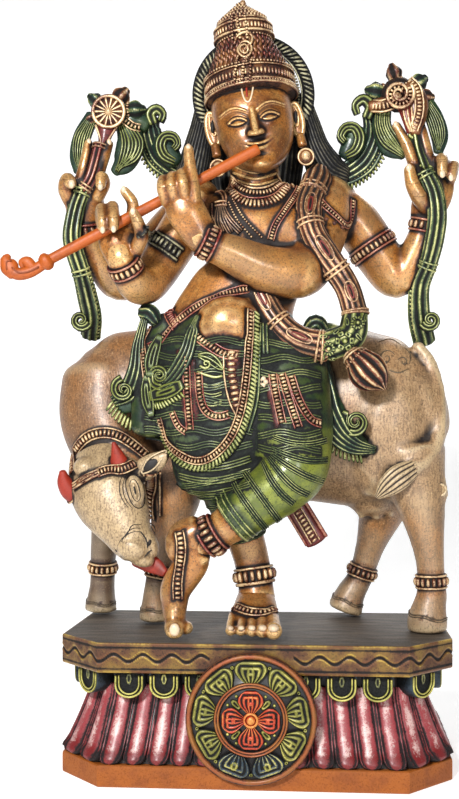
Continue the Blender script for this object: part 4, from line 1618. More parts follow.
# The scrolls that rise from the hair to the emblems, and the emblems with their long cords.
def scroll_forms():
    green = Carving()

    def free(points, lift=0.0):
        return line(points, None, lift)

    for side, spine in ((1, [[70, 462, -10], [88, 466, -8], [105, 478, -5], [115, 496, -3],
                             [117, 512, 0], [111, 530, 4]]),
                        (-1, [[-72, 464, -10], [-88, 472, -8], [-101, 484, -5], [-108, 500, -3],
                              [-110, 514, 0], [-106, 524, 4]])):
        green.ribbon(free(spine), [9, 15, 17, 16, 15, 8], 5, 3.2, 8, both=True)
        outer = free(spine).moved(side * 14, -2)
        green.row(outer, 5.0, (1.9, 7.0, 3.4), BAR, slant=side * 20, tone=0.7)
        inner = [[88, 484, 0], [97, 490, 3], [101, 502, 4], [96, 512, 4], [87, 512, 4], [82, 504, 4],
                 [86, 498, 4]] if side > 0 else \
                [[-84, 478, 0], [-94, 484, 3], [-98, 494, 4], [-94, 503, 4], [-85, 503, 4],
                 [-81, 496, 4], [-85, 491, 4]]
        green.ribbon(free(inner, 2.0), [5, 7, 7, 6, 4], 3, 2.4, 9, tone=1.0)
        green.limb([[inner[0][0], inner[0][1], -4, 9, 0.7],
                    [inner[2][0] - side * 4, inner[2][1], -2, 13, 0.5],
                    [inner[3][0] - side * 5, inner[3][1] - 2, -2, 8, 0.6]], 24, 3)
        top = [[108, 522, 6], [112, 534, 8], [105, 541, 8], [97, 535, 7], [99, 526, 6]] if side > 0 else \
              [[-105, 516, 5], [-108, 526, 6], [-102, 531, 6], [-96, 526, 5], [-98, 519, 5]]
        green.ribbon(free(top, 1.0), [6, 7, 6, 4], 2, 2.4, 8, tone=1.0)
    return green


def bud(carving, beads, spot, size, centre, root):
    """A fluted bud that points away from an emblem's centre, with beads round its root."""
    u, v, d = spot
    across, up = unit(np.array([u - centre[0], v - centre[1]])) * size
    rows = [[u - across, v - up, d, size * root], [u, v, d + 1, size],
            [u + across * 0.7, v + up * 0.7, d, size * 0.5]]
    carving.limb(rows, 30, 1.5, folds=5, rise=0.1, cap=0.9)
    beads.row(hoop(rows, 0.1, 0.6), 3.8, (1.6, 2.2, 1.6))


def plume(green, body, vein, spread, half, rise, thick, tone):
    """A drooping leaf with three ribbed ribbons side by side on it. Each place of the vein says
    how much of the shift to the side it takes across and up."""
    green.limb(body, 30, 2)
    for shift in (-spread, 0, spread):
        places = [[u + shift * across, v + shift * up, d] for u, v, d, across, up in vein]
        green.ribbon(line(places), half, 3, rise, thick, tone=tone)


def discus_forms():
    gilt, green, red = carvings(3)
    u, v, d = -150, 528.5, 18
    wheel = Carving()
    rings = [circle(u, v, d + lift, reach).places
             for lift, reach in ((-5, 13.5), (-1, 14.6), (0.4, 14), (1.0, 7), (1.1, 1))]
    wheel.sweep(np.array(rings), 0.45, [place([u, v, d - 5]), place([u, v, d + 1.1])], tone=1.0)
    gilt.cord(circle(u, v, d + 1, 15.6), 2.2, sides=12)
    gilt.cord(circle(u, v, d - 4, 15.8), 2.2, sides=12)
    for turn in round_turn(14):
        c, s = math.cos(turn), math.sin(turn)
        spoke = line([[u + 3 * c, v + 3 * s, d + 2.2], [u + 14 * c, v + 14 * s, d + 1.6]], None, 0, 2)
        gilt.cord(spoke, 1.35, taper=[0.6, 1.2])
    gilt.ball([u, v, d + 2], [3.6, 3.6, 3], wear=0.9)
    red.limb([[-152, 514, 13, 10, 0.5], [-154, 502, 14, 6.5, 0.6], [-156, 495, 15, 4.5, 0.7]], 20, 2)
    for points in ([[-163, 515, 16], [-158, 500, 17], [-160, 492, 17]],
                   [[-140, 516, 16], [-149, 502, 17], [-155, 492, 17]]):
        gilt.cord(line(points), 1.6)
    stem = [[-158, 494, 15, 6.6], [-162, 478, 17, 6.2], [-167, 462, 18, 6.0], [-174, 450, 17, 6.0]]
    red.limb(stem, 48, 1.5, folds=7, rise=0.13, tone=0.6)
    for path in (hoop(stem, 0.1, 0.8), hoop(stem, 2.75, 0.8)):
        for shift in (-2.2, 2.2):
            gilt.cord(path.moved(shift), 1.5)
    buds = [([-122, 530, 8], 9, green), ([-137, 544, 4], 9, gilt), ([-164, 540, 4], 7.5, green),
            ([-168, 520, 4], 6, gilt)]
    for spot, size, carving in buds:
        bud(carving, gilt, spot, size, (u, v), 0.7)
    strap(gilt, line([[-134, 520, 12], [-126, 514, 12], [-118, 512, 10]]), 3.2, 4.0, 1.0, 2.4, BEAD)
    plume(green, [[-134, 516, 4, 9, 0.6], [-128, 498, 6, 14, 0.42], [-134, 478, 6, 12, 0.4],
                  [-144, 468, 6, 5, 0.5]],
          [(-134, 516, 9, 0.6, 0), (-126, 498, 12, 1, 0), (-130, 482, 12, 0.8, 0),
           (-142, 470, 10, 0, 0.3)],
          7, [3, 5.6, 5.6, 2.6], 2.4, 5, 0.8)
    plume(green, [[-166, 524, 4, 7, 0.7], [-176, 504, 4, 9, 0.5], [-180, 484, 5, 9, 0.5],
                  [-180, 468, 6, 5, 0.6]],
          [(-167, 522, 8, 0.6, 0), (-176, 504, 9, 1, 0), (-179, 486, 10, 0.8, 0),
           (-180, 472, 9, 0, 0)],
          5, [2.6, 4.2, 4.2, 2], 2.2, 4, 0.6)
    green.limb([[-150, 532, 2, 14, 0.7], [-138, 522, 2, 14, 0.6], [-122, 520, 3, 11, 0.7],
                [-112, 516, 2, 9, 0.6]], 24, 3)
    return gilt, green, red, wheel


def conch_forms():
    gilt, green, red = carvings(3)
    gilt.ball([141, 545, 12], [19, 18, 9], wear=0.3)
    gilt.limb([[148, 550, 12, 14, 0.8], [157, 536, 13, 13, 0.8], [158, 518, 15, 9, 0.9],
               [157, 506, 17, 6]], 28, 2)
    red.limb([[146, 536, 16, 8, 0.7], [150, 520, 18, 6, 0.8], [152, 508, 18, 4]], 20, 2, tone=1.0)
    whorl = line(spiral((140, 545.5), 16.5, 2.1, 40, -1, 0.14, 24))
    whorl.places[:] = whorl.places + np.linspace(0, 1, len(whorl.places))[:, None] * TOWARDS_EYE * 0.006
    gilt.cord(Path(whorl.places, TOWARDS_EYE), 2.2, taper=[1.1, 1, 0.9], sides=10)
    band = line(spiral((140.5, 545.5), 12.6, 1.0, 40, -1, 0.45, 25))
    gilt.row(band, 4.4, (1.6, 3.8, 2.4), BAR)
    gilt.ball([138, 543, 25], [5.6, 5, 4.6], wear=0.9)
    outer = line([[150, 560, 20], [158, 552, 22], [161, 538, 23], [160, 524, 23], [155, 510, 22]])
    strap(gilt, outer, 3.6, 4.4, 1.3, 2.6)
    for shift in (0, 5, 10):
        gilt.cord(line([[144 + shift * 0.9, 534, 21], [147 + shift * 0.7, 520, 22],
                        [152 + shift * 0.3, 508, 21]]), 1.7)
    point = line([[114, 534, 12], [124, 534, 17], [134, 537, 18]])
    strap(gilt, point, 5.4, 4.6, 1.4, 3.2)
    gilt.limb([[112, 533, 8, 6], [124, 535, 9, 8], [136, 538, 10, 8]], 20, 3)
    buds = [([135, 568, 6], 8, gilt), ([161, 558, 4], 8.5, green), ([168, 543, 4], 7.5, gilt),
            ([116, 549, 4], 9, green)]
    for spot, size, carving in buds:
        bud(carving, gilt, spot, size, (141, 545), 0.75)
    plume(green, [[124, 532, 3, 9, 0.6], [124, 512, 4, 10, 0.5], [134, 496, 6, 14, 0.42],
                  [146, 486, 6, 7, 0.5]],
          [(124, 530, 9, 0.8, 0), (124, 514, 10, 0.8, 0), (132, 498, 12, 1, 0),
           (145, 486, 10, 0, 0.4)],
          6, [3, 4.4, 5.6, 2.6], 2.4, 5, 0.8)
    plume(green, [[166, 540, 4, 8, 0.6], [176, 522, 4, 9, 0.5], [181, 504, 5, 9, 0.45],
                  [180, 488, 6, 5, 0.6]],
          [(167, 538, 8, 0.7, 0), (176, 520, 9, 1, 0), (180, 504, 10, 0.8, 0),
           (180, 490, 9, 0, 0)],
          5, [2.6, 4.2, 4.2, 2], 2.2, 4, 0.6)
    green.limb([[157, 506, 15, 5.6], [160, 490, 16, 5.2], [166, 472, 18, 5.2]], 40, 1.5, folds=5,
               rise=0.14, tone=0.5)
    for path in (circle(157, 505, 17, 6, 24, 0.5), circle(166, 470, 20, 8, 24, 0.6)):
        green.cord(path, 2.0, tone=1.0)
    return gilt, green, red


LEFT_CORD = [[-176, 450, 17, 7], [-183, 430, 19, 7.5], [-187, 405, 20, 8], [-184, 388, 18, 8],
             [-177, 366, 10, 8], [-171, 342, -2, 9], [-167, 322, -14, 9], [-168, 304, -30, 9]]
RIGHT_CORD = [[167, 468, 20, 7], [176, 448, 21, 8], [179, 425, 21, 8.5], [176, 400, 16, 8.5],
              [170, 376, 8, 8], [161, 352, -2, 9], [161, 322, -12, 10], [166, 298, -20, 10]]


def long_cords():
    """The ribbed green sash ends from both rear hands down to the cow's back."""
    green, gilt = carvings(2)
    for side, cord, bands in ((-1, LEFT_CORD, (0.1, 3.9)), (1, RIGHT_CORD, (0.1, 4.05))):
        rows = [[*row, 0.62] for row in cord]
        green.limb(rows, 64, 2, folds=8, rise=0.15, tone=0.3)
        for at in bands:
            for shift in (-0.1, 0.1):
                gilt.cord(hoop(rows, at + shift, 1.0), 1.6)
        foot = [row[:3] for row in cord[4:]]
        feathers = line(foot).moved(side * 7, 0)
        green.row(feathers, 5.2, (2.0, 6.5, 3.0), BAR, slant=side * 28, tone=0.5)
        feathers = line(foot).moved(-side * 7, 0)
        green.row(feathers, 5.2, (2.0, 5.0, 3.0), BAR, slant=-side * 28, tone=0.5)
        u, v, d = cord[6][:3]
        green.ribbon(line(spiral((u + side * 11, v - 2), 9.5, 1.3, 200 if side > 0 else -20, side, 0.2,
                                 d + 8)), [5, 4, 2.4], 2, 2.4, 6, both=True, tone=1.0)
    return green, gilt


def flute_forms():
    """The straight flute, with its collar and its leafy end."""
    wood = Carving()
    start, end = np.array([-1.0, 491, 62]), np.array([-216, 376.5, 74])
    r = 6.4 / UNIT
    rod = [[*(start + (end - start) * t), r * (1.0 + 0.05 * math.cos(t * 9))] for t in
           np.linspace(0, 1, 14)]
    wood.limb(rod, 28, 5, cap=0.3)
    u, v, d = end
    wood.limb([[u + 8, v + 4.2, d, 1.15 * r], [u + 6, v + 3, d, 1.6 * r], [u + 2, v + 1, d, 1.65 * r],
               [u - 1, v - 0.5, d, 1.2 * r]], 28, 1, cap=0.3)
    wood.limb([[u + 2, v, d, r, 0.8], [u - 12, v - 8, d, 1.15 * r, 0.8],
               [u - 24, v - 10.5, d, 1.2 * r, 0.8], [u - 33, v - 7, d, 1.1 * r, 0.8]], 28, 2)
    wood.limb([[u - 29, v - 12, d, 1.1 * r, 0.8], [u - 33, v - 4, d, 1.75 * r, 0.62],
               [u - 36, v + 4, d, 1.2 * r, 0.7], [u - 34, v + 8, d, 0.5 * r, 0.8]], 28, 2)
    wood.limb([[u - 9, v - 5, d, 0.9 * r, 0.8], [u - 15, v + 1, d, 1.15 * r, 0.75],
               [u - 21, v + 1, d, 0.7 * r, 0.8], [u - 20, v - 4, d, 0.4 * r, 0.8]], 24, 1.5)
    for points in ([(u - 4, v - 3), (u - 14, v - 8), (u - 24, v - 9), (u - 31, v - 4)],
                   [(u - 36, v - 6), (u - 36, v + 2), (u - 31, v + 3)]):
        wood.cord(line([[a, b, d + 1.0 * r] for a, b in points]), 0.9, (0.0, 0.2))
    return wood


# The plinth: a slab with a carved edge, hanging tongues, a flare of petals, and a foot.
SLAB_FOOT = PLINTH_HEIGHT - TOP_SLAB_THICKNESS
PETAL_TOP = SLAB_FOOT - 21
PETAL_PITCH, TONGUE_PITCH = 25, 41
TONGUE_LENGTH, TONGUE_INSET = 31, 11
# The waved line of the slab's edge, the ribs beside it, and the plain wood behind the rosette.
WAVE_PITCH, WAVE_HEIGHT = 33, 4.2
WAVE_WIDTH, WAVE_CUT = 1.4, 1.7
RIB_AWAY, RIB_WIDTH, RIB_PROUD = 3.0, 1.2, 0.25
PLAIN_HALF = 46
# How far the dark lines run from the slab's underside and from its top.
LOW_LINE, HIGH_LINE = 4.6, 5.4
# How far a petal's rim, panel and turned lip stand out.
RIM_PROUD, PANEL_PROUD, LIP_PROUD = 2.4, 4.4, 2.6
# The rosette: its radius, how far its ground reaches behind the face, and its petals' counts.
ROSETTE_RADIUS, ROSETTE_DEPTH = 70, 18
ROSETTE_PETALS, FLOWER_PETALS = 9, 4


def on_axis(height):
    """The place on the plinth's upright axis, in metres."""
    return np.array([0, 0, height]) * MM


def outline(inset):
    x, front, back = PLINTH_WIDTH / 2 - inset, -PLINTH_DEPTH / 2 + inset, PLINTH_DEPTH / 2 - inset
    cut = PLINTH_CHAMFER - inset * (2 - math.sqrt(2))
    return np.array([[-x, back], [-x, front + cut], [-x + cut, front], [x - cut, front],
                     [x, front + cut], [x, back]])


def along_outline(inset, pitch):
    """Spots along the outline at the middle of each pitch: place, way along and way out."""
    corners = outline(inset)
    spots = []
    for start, end in zip(corners, np.roll(corners, -1, 0)):
        edge = end - start
        count = max(1, round(float(np.linalg.norm(edge)) / pitch))
        way = edge / np.linalg.norm(edge)
        spots += [(start + edge * (n + 0.5) / count, way, np.array([way[1], -way[0]]),
                   float(np.linalg.norm(edge)) / count) for n in range(count)]
    return spots


def outline_rings(levels, pitch):
    """Rings round the plinth, one for each (inset, height)."""
    corners = outline(0)
    shares = []
    for i, (start, end) in enumerate(zip(corners, np.roll(corners, -1, 0))):
        count = max(4, round(float(np.linalg.norm(end - start)) / pitch))
        t = np.arange(count) / count
        t = np.concatenate([t[:1], [0.002], t[1:], [0.998]])
        shares.append(i + t)
    share = np.concatenate(shares)
    rings = []
    for inset, height in levels:
        at = np.vstack([outline(inset), outline(inset)[:1]])
        first = share.astype(int)
        flat = at[first] + (at[first + 1] - at[first]) * (share - first)[:, None]
        rings.append(np.column_stack([flat, np.full(len(flat), height)]))
    return np.array(rings)[:, ::-1]


def crisp(mesh):
    """The mesh with its true edges kept sharp."""
    mesh.set_sharp_from_angle(angle=math.radians(38))
    return mesh


def slab_edge():
    """The slab's edge, with a waved line cut along it and plain wood behind the rosette."""
    lows = np.linspace(2, TOP_SLAB_THICKNESS - 2, 28)
    levels = [(14, 0), (1.4, 0), (0.3, 1.0), *[(0, h) for h in lows], (0.3, TOP_SLAB_THICKNESS - 0.9),
              (1.6, TOP_SLAB_THICKNESS - 0.3), (6, TOP_SLAB_THICKNESS - 2.5)]
    rings = outline_rings(levels, 2.1)
    heights = np.array([h for _, h in levels])[:, None]
    front = np.abs(rings[0, :, 0])
    way = unit(rings[5, :, :2] * np.array([1.0, PLINTH_WIDTH / PLINTH_DEPTH]))
    around = np.concatenate([[0], np.cumsum(np.linalg.norm(np.diff(rings[4, :, :2], axis=0), axis=1))])
    middle = TOP_SLAB_THICKNESS * 0.5
    wave = middle + WAVE_HEIGHT * np.sin(around / WAVE_PITCH * 2 * math.pi)
    plain = (front < PLAIN_HALF) & (rings[0, :, 1] < 0)
    carved = np.where(plain | (rings[0, :, 1] > PLINTH_DEPTH / 2 - 3), 0.0, 1.0)
    cut = hill(heights - wave, WAVE_WIDTH) * carved
    rib = hill(np.abs(heights - wave) - RIB_AWAY, RIB_WIDTH) * carved
    rings[:, :, :2] += way * (-WAVE_CUT * cut + RIB_PROUD * rib)[..., None]
    edge = np.maximum(hill(heights, 2.6), hill(TOP_SLAB_THICKNESS - heights, 3.0))
    dark = hill(heights - LOW_LINE, 1.0) + hill(TOP_SLAB_THICKNESS - HIGH_LINE - heights, 1.0)
    wear = np.clip(0.58 + 0.35 * rib + 0.3 * edge - 1.2 * cut - 0.5 * dark, 0, 1)
    rings[:, :, 2] += SLAB_FOOT
    wood = Carving()
    wood.sweep(rings * MM, wear, [on_axis(SLAB_FOOT), on_axis(PLINTH_HEIGHT - 4)])
    return crisp(wood.mesh("slab_edge"))


def slab_top():
    """The chiselled top, in shallow facets."""
    levels = [(2.0, -3.0), (1.8, -0.3)]
    rings = outline_rings(levels + [(4, -0.2)], 6.0)
    shares = np.linspace(1, 0.02, 30)
    flat = [rings[2] * np.array([s, s, 1]) for s in shares]
    rings = np.concatenate([rings[:2], np.array(flat)])
    rows = np.arange(len(rings))[:, None]
    x, y = rings[..., 0], rings[..., 1]
    chisel = np.sin(x / 9 + 3 * np.sin(y / 17)) * np.sin(y / 4.6 + 1.7 * np.sin(x / 23)) \
        + 0.6 * np.sin(x / 3.7 + y / 5.3) * np.sin(y / 7.9)
    rings[..., 2] += np.where(rows > 1, np.clip(chisel, -1, 1) * 0.35 - 0.4, 0)
    rings[..., 2] += PLINTH_HEIGHT
    wood = Carving()
    wood.sweep(rings * MM, 0.5, [on_axis(PLINTH_HEIGHT - 4), on_axis(PLINTH_HEIGHT - 0.5)])
    return wood.mesh("slab_top")


def foot_band():
    """The foot slab, its edges rounded a little."""
    levels = [(20, 0), (1.5, 0), (0.2, 1.2), (0, 4), (0, FOOT_THICKNESS - 4),
              (0.3, FOOT_THICKNESS - 1.2), (1.8, FOOT_THICKNESS), (44, FOOT_THICKNESS)]
    rings = outline_rings(levels, 4.0)
    wear = np.array([0.3, 0.6, 0.85, 0.6, 0.55, 0.8, 0.7, 0.05])[:, None]
    wood = Carving()
    wood.sweep(rings * MM, np.broadcast_to(wear, rings.shape[:2]), [on_axis(0), on_axis(FOOT_THICKNESS)])
    return crisp(wood.mesh("foot_band"))


def neck_forms():
    """The dark neck behind the tongues and petals, flared and plain at the back."""
    wood = Carving()
    levels = [(8, FOOT_THICKNESS - 1), (10, 40), (16, 58), (24, 76), (31, 94), (34, 106),
              (34, SLAB_FOOT + 1)]
    rings = outline_rings(levels, 6.0)
    wood.sweep(rings * MM, 0.3, [on_axis(FOOT_THICKNESS), on_axis(SLAB_FOOT)])
    return crisp(wood.mesh("neck"))


def petal_spots():
    """Each petal's share of its edge, the way along and out of it, the edge and how far along."""
    corners = outline(NECK_INSET)
    for edge in range(len(corners)):
        run = np.roll(corners, -1, 0)[edge] - corners[edge]
        way = run / np.linalg.norm(run)
        out = np.array([way[1], -way[0]])
        count = max(2, round(float(np.linalg.norm(run)) / PETAL_PITCH))
        if out[1] < 0.5:
            for n in range(count):
                yield 1 / count, way, out, edge, (n + 0.5) / count


def petals():
    """The flare of long rounded petals, red at their tips."""
    rose = Carving()
    profile = spline([(33.5, PETAL_TOP + 2), (31.5, 96), (27, 84), (21.5, 70), (15.5, 56), (9.5, 43),
                      (4.8, 33), (1.8, 27.5), (1.2, 25.6)], 3.2)
    for part, way, out, edge, reach in petal_spots():
        ends = np.array([[outline(inset)[edge], np.roll(outline(inset), -1, 0)[edge]]
                         for inset in profile[:, 0]])
        flat = ends[:, 0] + (ends[:, 1] - ends[:, 0]) * reach
        length = np.linalg.norm(ends[:, 1] - ends[:, 0], axis=1) * part
        places = np.column_stack([flat, profile[:, 1]])
        sideways = np.array([way[0], way[1], 0.0])
        path = Path(places * MM, np.array([out[0], out[1], 0.15]))
        path.across = np.broadcast_to(-sideways, places.shape).copy()
        path.out = unit(np.cross(path.across, path.along))
        share = np.linspace(0, 1, len(places))
        end = np.sqrt(np.clip(1 - np.clip((share - 0.86) / 0.14, 0, 1) ** 2, 0.0, 1))
        half = length * 0.485 * np.maximum(end, 0.12)
        across = np.linspace(1, -1, 23)
        rim = hill(np.abs(across) - 0.9, 0.08)
        panel = np.sqrt(np.clip(1 - (across / 0.74) ** 2, 0, 1))
        lip = np.clip((share - 0.82) / 0.06, 0, 1)[:, None]
        height = RIM_PROUD * rim + PANEL_PROUD * panel * (1 - 0.4 * lip) + lip * LIP_PROUD
        height = height * np.minimum(1, end * 1.4)[:, None]
        rings = places[:, None] + half[:, None, None] * across[:, None] * path.across[:, None] \
            + height[..., None] * path.out[:, None]
        foot = places[:, None] + half[:, None, None] * np.array([-1, 1.0])[:, None] \
            * path.across[:, None] - 6 * path.out[:, None]
        rings = np.concatenate([rings, foot], 1)
        streak = hill(across - 0.08, 0.6)
        wear = np.clip(0.56 * rim + np.clip(panel * 1.3, 0, 1) * (0.48 + 0.42 * streak), 0, 1) \
            * (1 - 0.28 * lip)
        wear = np.concatenate([wear, np.zeros((len(share), 2))], 1)
        tone = np.broadcast_to(np.clip((share - 0.72) / 0.12, 0, 1)[:, None], wear.shape)
        rose.sweep(rings * MM, wear, [rings[0].mean(0) * MM, rings[-1].mean(0) * MM], tone=tone)
    return rose.mesh("petals")


def tongues():
    """The tongues under the slab: dark panels inside double yellow rims."""
    green = Carving()
    for spot, way, out, length in along_outline(NECK_INSET, TONGUE_PITCH):
        if out[1] > 0.5:
            continue
        half = length * 0.42
        turn = np.linspace(0, math.pi, 15)
        down = TONGUE_LENGTH - half * 0.8
        shape = [(-half, 1.0), (-half, -down * 0.5)]
        shape += [(-half * math.cos(t), -down - half * 0.8 * math.sin(t)) for t in turn]
        shape += [(half, -down * 0.5), (half, 1.0)]
        shape = spline(shape, 3.2)

        def at(proud, shrink=1.0):
            flat = spot + way * (shape[:, :1] * shrink) + out * proud
            return np.column_stack([flat, SLAB_FOOT + shape[:, 1] * (1 - (1 - shrink) * 0.5)])

        reach = NECK_INSET - TONGUE_INSET
        rings = np.array([at(-1), at(reach - 1.5), at(reach - 0.4, 0.96), at(reach - 2.0, 0.7)])
        middle = np.append(spot + out * (reach - 2.0), SLAB_FOOT - TONGUE_LENGTH * 0.45)
        back = np.append(spot - out, SLAB_FOOT - TONGUE_LENGTH * 0.45)
        green.sweep(rings * MM, np.array([0.1, 0.5, 0.55, 0.05])[:, None] * np.ones(len(shape)),
                    [back * MM, middle * MM])
        facing = np.array([out[0], out[1], 0.0])
        for shrink, wide in ((0.9, 1.3), (0.68, 1.0)):
            rim = Path(at(reach - 0.2, shrink)[2:-2] * MM, facing)
            green.cord(rim, wide, (0.35, 1.0), tone=1.0)
        stem = np.array([np.append(spot + out * (reach - 1.6), SLAB_FOOT - z) for z in (2, 9, 16)])
        green.leaf(Path(spline(stem, 1.5) * MM, facing), [2, 4.5, 1.5], 1, 1.6, 2, 0.5)
    return green


def rosette_forms():
    """The round boss: a rim, nine nested petals, an inner ring and a four-petalled flower."""
    base, rim, green, ember = carvings(4)
    middle = PLINTH_HEIGHT / 2
    face = -PLINTH_DEPTH / 2
    facing = np.array([0.0, -1.0, 0.0])

    def polar(reach, degrees, proud):
        """A place on the rosette, in millimetres, by its reach, turn and height off the face."""
        a = math.radians(degrees)
        return [reach * math.cos(a), face - proud, middle + reach * math.sin(a)]

    def hooped(reach, proud, steps=120):
        return Path(np.array([polar(reach, a, proud) for a in np.arange(steps) * 360 / steps]) * MM,
                    facing, True)

    def spoke(degrees, places, step):
        """A line outwards through places, each told by its reach and how far it stands out."""
        return Path(spline([polar(reach, degrees, proud) for reach, proud in places], step) * MM, facing)

    ground = ((ROSETTE_RADIUS, -ROSETTE_DEPTH), (ROSETTE_RADIUS, 6), (66, 7), (40, 7), (39, 8), (20, 8))
    rings = np.array([[polar(reach, a, proud) for a in np.arange(120) * 3] for reach, proud in ground])
    base.sweep(rings * MM, 0.05, [np.array(polar(0, 0, -ROSETTE_DEPTH)) * MM,
                                  np.array(polar(0, 0, 8)) * MM])
    rim.ribbon(hooped(69.4, 9.5), 3.2, 1, 2.4, 12, shade=(0.3, 0.8))
    rim.ribbon(hooped(38.2, 10.0), 3.2, 2, 2.0, 4, shade=(0.2, 0.95))
    rim.cord(hooped(71.4, 4.0), 1.4)
    for i in range(ROSETTE_PETALS):
        angle = 90 + i * 360 / ROSETTE_PETALS
        petal = spoke(angle, [(41.6, 9), (52, 10.5), (65.4, 9)], 1.2)
        bluish = 0.0 if -140 < (angle + 180) % 360 - 180 < -60 else 0.95
        green.leaf(petal, [8, 12, 15.4, 18, 19.4, 18.8, 15.6, 6.5], 3, 2.6, 4, bluish, 0.36, 1.4, 0.0)
        green.leaf(petal.moved(0, 1.6).part(0.3, 0.78), [2.4, 5.6, 5.0, 2], 1, 1.8, 2, 1.0, 0.6, 0.6)
        between = spoke(angle + 180 / ROSETTE_PETALS, [(58.5, 8.5), (63, 8.5)], 1.0)
        green.leaf(between, [1.0, 3.0, 1.0], 1, 2.0, 2, 1.0)
    for i in range(FLOWER_PETALS):
        angle = 90 + i * 360 / FLOWER_PETALS
        corner = angle + 180 / FLOWER_PETALS
        petal = spoke(angle, [(8, 10), (20, 12.5), (33, 10)], 1.0)
        ember.leaf(petal, [4, 8.5, 13, 15.2, 14.8, 11.5, 5], 3, 2.6, 4, 0.0, 0.4, 1.6, 0.0)
        ember.leaf(petal.moved(0, 2.0).part(0.35, 0.8), [2.4, 4.6, 3.4], 1, 1.8, 2, 0.0, 0.6, 0.8)
        green.leaf(spoke(corner, [(16, 9), (31, 9)], 1.0), [1.5, 3.4, 4.2, 1.5], 1, 2.0, 2, 1.0)
        for turn in (-13, 13):
            green.row(spoke(corner + turn, [(29, 9), (32, 9)], 1.0), 20, (1.8, 1.8, 1.6), FINE_BEAD,
                      tone=1.0)
    ember.cord(hooped(7.2, 12.0, 40), 1.6)
    boss = Path(np.array([polar(3, 0, 12), polar(-3, 0, 12)]) * MM, facing)
    ember.row(boss, 50, (5.4, 5.4, 3.6), FINE_BEAD)
    return base, rim, green, ember


# The pieces: skins grown over the forms, then the ornaments laid on them, then their paint.
FIGURE = "krishna_and_cow"
body = grown("body", body_forms(), BODY_VOXEL, 5)
hands = grown("hands", hand_forms(), HAND_VOXEL, 2)
feet = grown("feet", foot_forms(), FOOT_VOXEL, 2)
cow = grown("cow", cow_forms(), COW_VOXEL, 4, 1.2, tone=cow_tone)
cow_head = grown("cow_head", cow_head_forms(), COW_HEAD_VOXEL, 3)
cloth = grown("cloth", cloth_forms(), CLOTH_VOXEL, 4, tone=cloth_tone)
head = head_mesh()
flesh = tree_of(body, hands, feet)
dressed = tree_of(body, feet, cloth)
hide_tree = tree_of(cow, cow_head)

crown, crown_red = crown_forms()
crown_front(crown, tree_of(crown.mesh("crown_forms")))
ears, earrings, ear_pits, brow_pale, brow_red = head_dress(head)
collar, tassel, collar_red, creases = chest_dress(flesh)
garland, garland_red, garland_flowers, garland_bud = garland_forms()
arm_gilt, arm_red, arm_dark = arm_bands(flesh)
joints, nails = finger_marks(flesh)
skirt_gilt, skirt_red, skirt_green, skirt_pale = skirt_dress(dressed)
lines, leg_strap, strap_red = trouser_lines(dressed)
leg_gilt, leg_red = leg_bands(flesh)
cow_gilt, cow_marks, cow_pits, cow_horn = cow_dress(hide_tree)
discus, discus_green, discus_red, discus_wheel = discus_forms()
conch, conch_green, conch_red = conch_forms()
cord_green, cord_gilt = long_cords()
ORNAMENTS = [
    ("crown", crown, GILT), ("crown_red", crown_red, RUBBED_RED), ("ears", ears, SKIN),
    ("earrings", earrings, GILT), ("ear_pits", ear_pits, PIT), ("brow_mark", brow_pale, PALE),
    ("brow_mark_red", brow_red, RED), ("halo", halo_forms(), HAIR), ("hair", hair_forms(), STRANDS),
    ("collar", collar, GILT), ("tassel", tassel, ROPE), ("collar_edges", collar_red, RUBBED_RED),
    ("neck_creases", creases, SKIN), ("garland", garland, ROPE),
    ("garland_red", garland_red, DULL_RED), ("garland_flowers", garland_flowers, GREEN),
    ("garland_bud", garland_bud, GILT), ("arm_bands", arm_gilt, GILT),
    ("arm_band_edges", arm_red, RUBBED_RED), ("rear_armlet", arm_dark, HAIR),
    ("finger_creases", joints, SKIN), ("nails", nails, PALE), ("skirt_beads", skirt_gilt, GILT),
    ("skirt_edges", skirt_red, RUBBED_RED), ("skirt_leaves", skirt_green, GREEN),
    ("skirt_flower", skirt_pale, PALE), ("right_sash", right_sash(), GREEN),
    ("trouser_lines", lines, LINED), ("leg_strap", leg_strap, GILT),
    ("leg_strap_edges", strap_red, RUBBED_RED), ("anklets", leg_gilt, GILT),
    ("anklet_edges", leg_red, RUBBED_RED), ("cow_harness", cow_gilt, GILT),
    ("cow_marks", cow_marks, HIDE), ("cow_pits", cow_pits, PIT), ("cow_horns", cow_horn, RED),
    ("rump_carving", rump_carving(hide_tree), HIDE), ("scrolls", scroll_forms(), GREEN),
    ("discus", discus, GILT), ("discus_leaves", discus_green, GREEN),
    ("discus_stem", discus_red, RUBBED_RED), ("discus_wheel", discus_wheel, GILT),
    ("conch", conch, GILT), ("conch_leaves", conch_green, GREEN), ("conch_red", conch_red, DULL_RED),
    ("long_cords", cord_green, GREEN), ("cord_bands", cord_gilt, GREEN),
]
trims = [(name, carving.mesh(name), paint) for name, carving, paint in ORNAMENTS if carving.count]
FAINT_MARKS = ("finger_creases", "nails", "cow_marks", "rump_carving", "neck_creases", "brow_mark",
               "brow_mark_red", "cow_pits", "ear_pits", "trouser_lines")
near_trim = tree_of_corners([mesh for name, mesh, _ in trims if name not in FAINT_MARKS])
bare = (body, hands, feet, cow, cow_head, cloth, head)
wash_hollows(bare, [*bare, *(mesh for _, mesh, _ in trims)])
for mesh in bare:
    shade_near(mesh, near_trim)
for mesh in (body, hands, feet, head):
    shown(mesh.name, mesh, SKIN, FIGURE)
for mesh in (cow, cow_head):
    shown(mesh.name, mesh, HIDE, FIGURE)
shown(cloth.name, cloth, CLOTH, FIGURE)
for name, mesh, paint in trims:
    shown(name, mesh, paint, FIGURE)
shown("flute_wood", flute_forms().mesh("flute_wood"), ORANGE, "flute")

